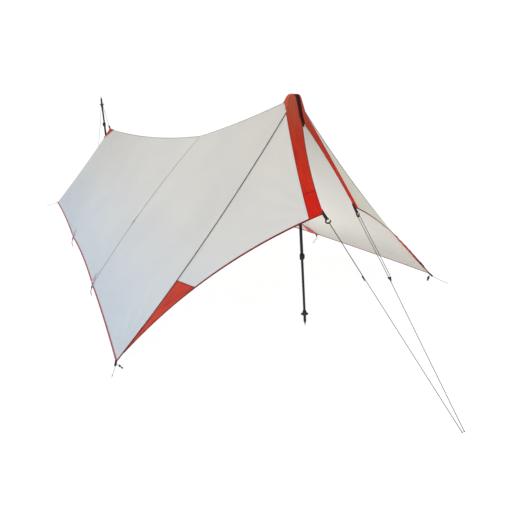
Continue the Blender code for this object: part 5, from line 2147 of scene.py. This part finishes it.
@dataclass
class TrekkingPole:
    """A three-section pole with lever locks, basket and foam grip.

    Attributes:
        prefix: Name of the pole's nodes and bodies.
        foot: Where its point is.
        upside_down: Grip on the ground.
        length: Point to the top of the grip.
        locks: Heights of the lower and upper lock from the point.
        side_angle: Direction of the levers' pins.
        finishes: Materials.
    """

    prefix: str
    foot: Vector
    upside_down: bool
    length: float
    locks: tuple[float, float]
    side_angle: float
    finishes: Finishes
    radii: tuple[float, float, float] = (0.0074, 0.0088, 0.0100)
    walls: tuple[float, float, float] = (0.0009, 0.0009, 0.0009)
    tip_length: float = 0.090
    insert: float = 0.120
    lock_height: float = 0.034
    lock_radius: float = 0.0125
    lever_height: float = 0.022
    lever_thickness: float = 0.0032
    barrel_radius: float = 0.0032
    pin_radius: float = 0.0014
    fit_gap: float = 0.0003
    grip_length: float = 0.160
    grip_radius: float = 0.0165
    grip_face: float = 0.0090
    grip_cap: float = 0.014
    ferrule: float = 0.0084
    basket_height: float = 0.074
    basket_radius: float = 0.0232
    scallops: int = 10

    @property
    def place(self) -> Matrix:
        """Local Z runs from the point towards the grip."""
        turn = Matrix.Rotation(math.pi, 4, "X") if self.upside_down else Matrix.Identity(4)
        return Matrix.Translation(self.foot) @ turn

    def finish(self, piece: bpy.types.Object, part: str, body: str, slot: str, material: bpy.types.Material,
               place: Matrix | None = None, edge: float = 0.0, angle: float = 35.0) -> None:
        """Place a part of the pole and hand it over.

        Args:
            piece: The piece, at the origin.
            part: CAD node without the prefix.
            body: Body without the prefix.
            slot: Material slot; not used.
            material: Finish.
            place: Where it goes, if not the pole's own place.
            edge: Bevel width.
            angle: Smooth shading angle.
        """
        Operators.settle(piece, self.place if place is None else place, material, angle, edge)
        Rider.ride(piece, f"{self.prefix}_{body}", slot, [f"{self.prefix}_{part}"])

    def build(self) -> None:
        """Tubes, locks, grip, point and basket."""
        lower, upper = self.locks
        half = self.lock_height * 0.5
        top = self.length - self.grip_cap - self.fit_gap
        spans = {"lower": (self.tip_length + self.fit_gap, lower + self.insert),
                 "middle": (lower - half + 0.004, upper + self.insert), "upper": (upper - half + 0.004, top)}
        for (part, (bottom, end)), radius, wall in zip(spans.items(), self.radii, self.walls):
            rows = ((radius - wall, bottom), (radius - 0.0003, bottom), (radius, bottom + 0.0006), (radius, end - 0.0006),
                    (radius - 0.0003, end), (radius - wall, end))
            piece = Operators.turned(f"{self.prefix}_{part}_shaft", rows, 40, closed=True)
            self.finish(piece, f"{part}_tube", f"{part}_section", "tube", self.finishes.anodised)
        self.build_lock("lower", lower, self.radii[1] + self.fit_gap, "middle_section")
        self.build_lock("upper", upper, self.radii[2] + self.fit_gap, "upper_section")
        self.build_grip()
        self.build_tip()

    def build_lock(self, part: str, height: float, bore: float, body: str) -> None:
        """The collar with its ears and pin, and the lever that wraps it."""
        half = self.lock_height * 0.5
        outer = self.lock_radius
        rows = ((bore, -half), (outer - 0.0016, -half), (outer, -half + 0.0016), (outer, -half + 0.0035),
                (outer - 0.0008, -half + 0.0042), (outer - 0.0008, half - 0.0042), (outer, half - 0.0035),
                (outer, half - 0.0016), (outer - 0.0016, half), (bore, half))
        collar = Operators.turned(f"{self.prefix}_{part}_clamp", rows, 48, closed=True)
        pivot = outer + self.barrel_radius + self.fit_gap
        ear_height = (self.lock_height - self.lever_height) * 0.5 - self.fit_gap - 0.0015
        extras = []
        for name, middle in (("top", self.lever_height * 0.5 + self.fit_gap + ear_height * 0.5),
                             ("foot", -self.lever_height * 0.5 - self.fit_gap - ear_height * 0.5)):
            extras.append(self.ear(f"{self.prefix}_{part}_{name}_ear", pivot, middle, ear_height))
        Operators.start()
        bpy.ops.mesh.primitive_cylinder_add(vertices=20, radius=self.pin_radius,
                                            depth=self.lock_height - 2.0 * 0.0015, location=(pivot, 0.0, 0.0))
        pin = Operators.named(f"{self.prefix}_{part}_pin")
        bpy.ops.object.transform_apply(location=True)
        extras.append(pin)
        Workshop.only(collar)
        for piece in extras:
            piece.select_set(True)
        bpy.context.view_layer.objects.active = collar
        bpy.ops.object.join()
        place = self.place @ Matrix.Translation((0.0, 0.0, height)) @ Matrix.Rotation(self.side_angle, 4, "Z")
        self.finish(collar, f"{part}_lock", body, "fittings", self.finishes.plastic, place)
        lever = self.lever(f"{self.prefix}_{part}_cam_lever", pivot)
        self.finish(lever, f"{part}_lever", f"{part}_lever", "fittings", self.finishes.plastic, place, 0.0004)

    def ear(self, name: str, pivot: float, middle: float, height: float) -> bpy.types.Object:
        """A lug from the collar's wall out to the pin."""
        Operators.start()
        bpy.ops.mesh.primitive_cylinder_add(vertices=24, radius=0.00324, depth=height, location=(pivot, 0.0, middle))
        made = Operators.named(name)
        bpy.ops.object.transform_apply(location=True)
        Operators.pick(made, lambda centre, normal: normal.x < -0.6 and abs(normal.z) < 0.3)
        bpy.ops.mesh.extrude_region_move(TRANSFORM_OT_translate={"value": (-0.0042, 0.0, 0.0)})
        bpy.ops.transform.resize(value=(0.0, 1.15, 1.0))
        bpy.ops.object.mode_set(mode="OBJECT")
        return made

    def lever(self, name: str, pivot: float) -> bpy.types.Object:
        """A curved cam lever: an arc of sheet round the collar, a barrel on the pin, and a thumb lip."""
        inner = self.lock_radius + self.fit_gap
        sweep = math.radians(165)
        Operators.start()
        bpy.ops.mesh.primitive_cylinder_add(vertices=96, radius=inner + self.lever_thickness, depth=self.lever_height,
                                            end_fill_type="NOTHING")
        made = Operators.named(name)
        first = math.asin(self.barrel_radius * 0.55 / inner) * 1.6

        def outside(centre: Vector, _: Vector) -> bool:
            """Whether a face lies beyond the lever's sweep."""
            angle = math.atan2(centre.y, centre.x) % (2.0 * math.pi)
            return not first < angle < sweep

        Operators.pick(made, outside)
        bpy.ops.mesh.delete(type="FACE")
        bpy.ops.object.mode_set(mode="OBJECT")
        flare_from = math.radians(118)
        for vert in made.data.vertices:
            angle = math.atan2(vert.co.y, vert.co.x)
            flare = 1.0 + 0.10 * max(0.0, (angle - flare_from) / (sweep - flare_from)) ** 2
            waist = 1.0 - 0.16 * math.sin(math.pi * max(0.0, min(1.0, (angle - 0.6) / 2.0)))
            vert.co.x, vert.co.y, vert.co.z = vert.co.x * flare, vert.co.y * flare, vert.co.z * waist
        solid = made.modifiers.new("wall", "SOLIDIFY")
        solid.thickness = self.lever_thickness - 0.0002
        solid.offset = -1.0
        Workshop.only(made)
        bpy.ops.object.modifier_apply(modifier=solid.name)
        rows = ((self.pin_radius + self.fit_gap, -self.lever_height * 0.5),
                (self.barrel_radius, -self.lever_height * 0.5), (self.barrel_radius, self.lever_height * 0.5),
                (self.pin_radius + self.fit_gap, self.lever_height * 0.5))
        barrel = Operators.turned(f"{name}_barrel", rows, 24, closed=True)
        barrel.data.transform(Matrix.Translation((pivot, 0.0, 0.0)))
        Workshop.only(made)
        barrel.select_set(True)
        bpy.context.view_layer.objects.active = made
        bpy.ops.object.join()
        return made

    def build_grip(self) -> None:
        """Foam grip with a palm swell, finger ribs and a domed end with a flat face."""
        bottom = self.length - self.grip_length
        bore = self.radii[2] + self.fit_gap
        rows = [(bore, self.length - self.grip_cap), (bore, bottom), (self.grip_radius - 0.0048, bottom),
                (self.grip_radius - 0.0030, bottom + 0.0040)]
        count = 44
        start, end = 0.88, 0.10
        for step in range(count + 1):
            share = start + (end - start) * step / count
            swell = 0.0014 * (1.0 - math.cos(share * 4.0 * math.pi)) + 0.002 * share
            rib = 0.00055 * abs(math.sin(share * 26.0 * math.pi)) if 0.16 < share < 0.84 else 0.0
            rows.append((self.grip_radius - swell - rib, self.length - 0.009 - (self.grip_length - 0.013) * share))
        for step in range(9):
            angle = math.radians(90.0 * step / 8)
            rows.append((self.grip_face + (self.grip_radius - self.grip_face) * math.cos(angle),
                         self.length - 0.009 + 0.009 * math.sin(angle)))
        piece = Operators.turned(f"{self.prefix}_foam_grip", rows, 48)
        self.finish(piece, "grip", "upper_section", "grip_foam", self.finishes.foam, angle=50.0)

    def build_tip(self) -> None:
        """Ribbed ferrule with a steel point, and the scalloped basket round it."""
        rows = [(0.0020, 0.0), (0.0024, 0.0132), (0.0042, 0.014), (self.ferrule - 0.0010, 0.0285),
                (self.ferrule, 0.030)]
        for step in range(5):
            base = 0.034 + step * 0.0060
            rows += [(self.ferrule, base), (self.ferrule - 0.0005, base + 0.0010),
                     (self.ferrule - 0.0005, base + 0.0024), (self.ferrule, base + 0.0034)]
        rows += [(self.ferrule, self.tip_length - 0.002), (self.ferrule - 0.0008, self.tip_length)]
        piece = Operators.turned(f"{self.prefix}_ferrule", rows, 32)
        self.finish(piece, "tip", "lower_section", "fittings", self.finishes.plastic)
        rows = ((0.0018, -0.0002), (0.0021, 0.0008), (0.0022, 0.0125), (0.0030, 0.0136))
        point = Operators.turned(f"{self.prefix}_steel_point", rows, 20)
        Operators.settle(point, self.place, self.finishes.steel)
        Rider.ride(point, f"{self.prefix}_lower_section", "fittings")
        self.build_basket()

    def build_basket(self) -> None:
        """A disc with a rolled scalloped rim and a tall conical hub."""
        bore = self.ferrule + self.fit_gap
        rim = self.basket_radius
        rows = ((bore, -0.0015), (rim - 0.0010, -0.0015), (rim, -0.0006), (rim, 0.0008), (rim - 0.0010, 0.0015),
                (rim - 0.0026, 0.0012), (rim - 0.0058, 0.0034), (bore + 0.0042, 0.0100), (bore + 0.0026, 0.0160),
                (bore + 0.0018, 0.0210), (bore, 0.0214))
        made = Operators.turned(f"{self.prefix}_snow_basket", rows, self.scallops * 8, closed=True)
        for vert in made.data.vertices:
            radius = math.hypot(vert.co.x, vert.co.y)
            if radius > rim - 0.0030:
                angle = math.atan2(vert.co.y, vert.co.x)
                pull = 0.0016 * (0.5 - 0.5 * math.cos(self.scallops * angle))
                vert.co.x, vert.co.y = vert.co.x * (1.0 - pull / radius), vert.co.y * (1.0 - pull / radius)
        place = self.place @ Matrix.Translation((0.0, 0.0, self.basket_height))
        self.finish(made, "basket", "lower_section", "fittings", self.finishes.plastic, place)


# ------------------------------------------------------------------ studio

@dataclass
class Studio:
    """Floor, light and camera.

    Attributes:
        lens: Focal length in millimetres.
        stand: Camera position.
        yaw: Turn from +Y towards +X, in degrees.
        pitch: Tilt down, in degrees.
        roll: Roll, in degrees.
    """

    lens: float = 51.68
    stand: tuple[float, float, float] = (-2.07453681, -3.39590939, 1.77468509)
    yaw: float = 27.564
    pitch: float = 18.348
    roll: float = -3.836
    lamps: tuple[tuple[str, tuple[float, float, float], float, float], ...] = field(default=(
        ("key", (-4.5, -3.5, 6.0), 5.0, 240.0), ("fill", (4.5, -2.5, 5.0), 5.0, 90.0),
        ("back", (1.0, 7.5, 5.0), 5.0, 90.0)))

    def build(self) -> None:
        """Floor, world, lamps and camera."""
        bpy.ops.object.select_all(action="DESELECT")
        bpy.ops.mesh.primitive_plane_add(size=240.0, location=(0.0, 0.0, -0.0006))
        floor = bpy.context.object
        floor.name = "studio_floor"
        floor.data.materials.append(FloorFinish().make())
        world = bpy.data.worlds.new("studio_light")
        world.use_nodes = True
        sky = world.node_tree.nodes["Background"]
        sky.inputs["Color"].default_value = (1.0, 1.0, 1.0, 1.0)
        sky.inputs["Strength"].default_value = 1.0
        bpy.context.scene.world = world
        bpy.context.scene.view_settings.view_transform = "Standard"
        target = Vector((0.0, 1.2, 0.5))
        for name, at, size, power in self.lamps:
            lamp = bpy.data.lights.new(f"{name}_light", "AREA")
            lamp.shape = "DISK"
            lamp.size = size
            lamp.energy = power
            made = bpy.data.objects.new(f"{name}_light", lamp)
            bpy.context.scene.collection.objects.link(made)
            made.location = at
            made.rotation_euler = (target - Vector(at)).to_track_quat("-Z", "Y").to_euler()
        self.build_bounce()
        self.build_camera()

    @staticmethod
    def build_bounce() -> None:
        """A soft lamp on the floor that lifts the inside of the walls."""
        lamp = bpy.data.lights.new("bounce_light", "AREA")
        lamp.shape = "RECTANGLE"
        lamp.size, lamp.size_y = 1.3, 2.6
        lamp.energy = 13.0
        made = bpy.data.objects.new("bounce_light", lamp)
        bpy.context.scene.collection.objects.link(made)
        made.location = (0.0, 1.3, 0.002)
        made.rotation_euler = (math.pi, 0.0, 0.0)
        made.visible_camera = False

    def build_camera(self) -> None:
        """A camera at the fitted stand."""
        yaw, pitch, roll = (math.radians(value) for value in (self.yaw, self.pitch, self.roll))
        ahead = Vector((math.sin(yaw) * math.cos(pitch), math.cos(yaw) * math.cos(pitch), -math.sin(pitch)))
        level = Vector((math.cos(yaw), -math.sin(yaw), 0.0))
        lift = level.cross(ahead)
        right = level * math.cos(roll) + lift * math.sin(roll)
        above = lift * math.cos(roll) - level * math.sin(roll)
        lens = bpy.data.cameras.new("studio_camera")
        lens.lens = self.lens
        lens.sensor_width = 36.0
        made = bpy.data.objects.new("studio_camera", lens)
        bpy.context.scene.collection.objects.link(made)
        turn = Matrix((right, above, -ahead)).transposed().to_4x4()
        made.matrix_world = Matrix.Translation(self.stand) @ turn
        bpy.context.scene.camera = made


def main() -> None:
    """Build the shelter and its studio."""
    logging.basicConfig(level=logging.INFO, format="%(name)s: %(message)s")
    finishes = Finishes()
    Studio().build()
    for side in Side:
        DoorLine(side, finishes).build()
    GroundCords(finishes).build()
    Canopy(finishes).build()
    for side in Side:
        DoorWing(side, finishes).build()
    TrekkingPole("front_pole", Vector(), False, 1.308, (0.430, 0.800), math.radians(200), finishes).build()
    TrekkingPole("rear_pole", Vector((0.0, 3.506, 1.110)), True, 1.110, (0.265, 0.600), math.radians(160),
                 finishes).build()


if __name__ == "__main__":
    main()
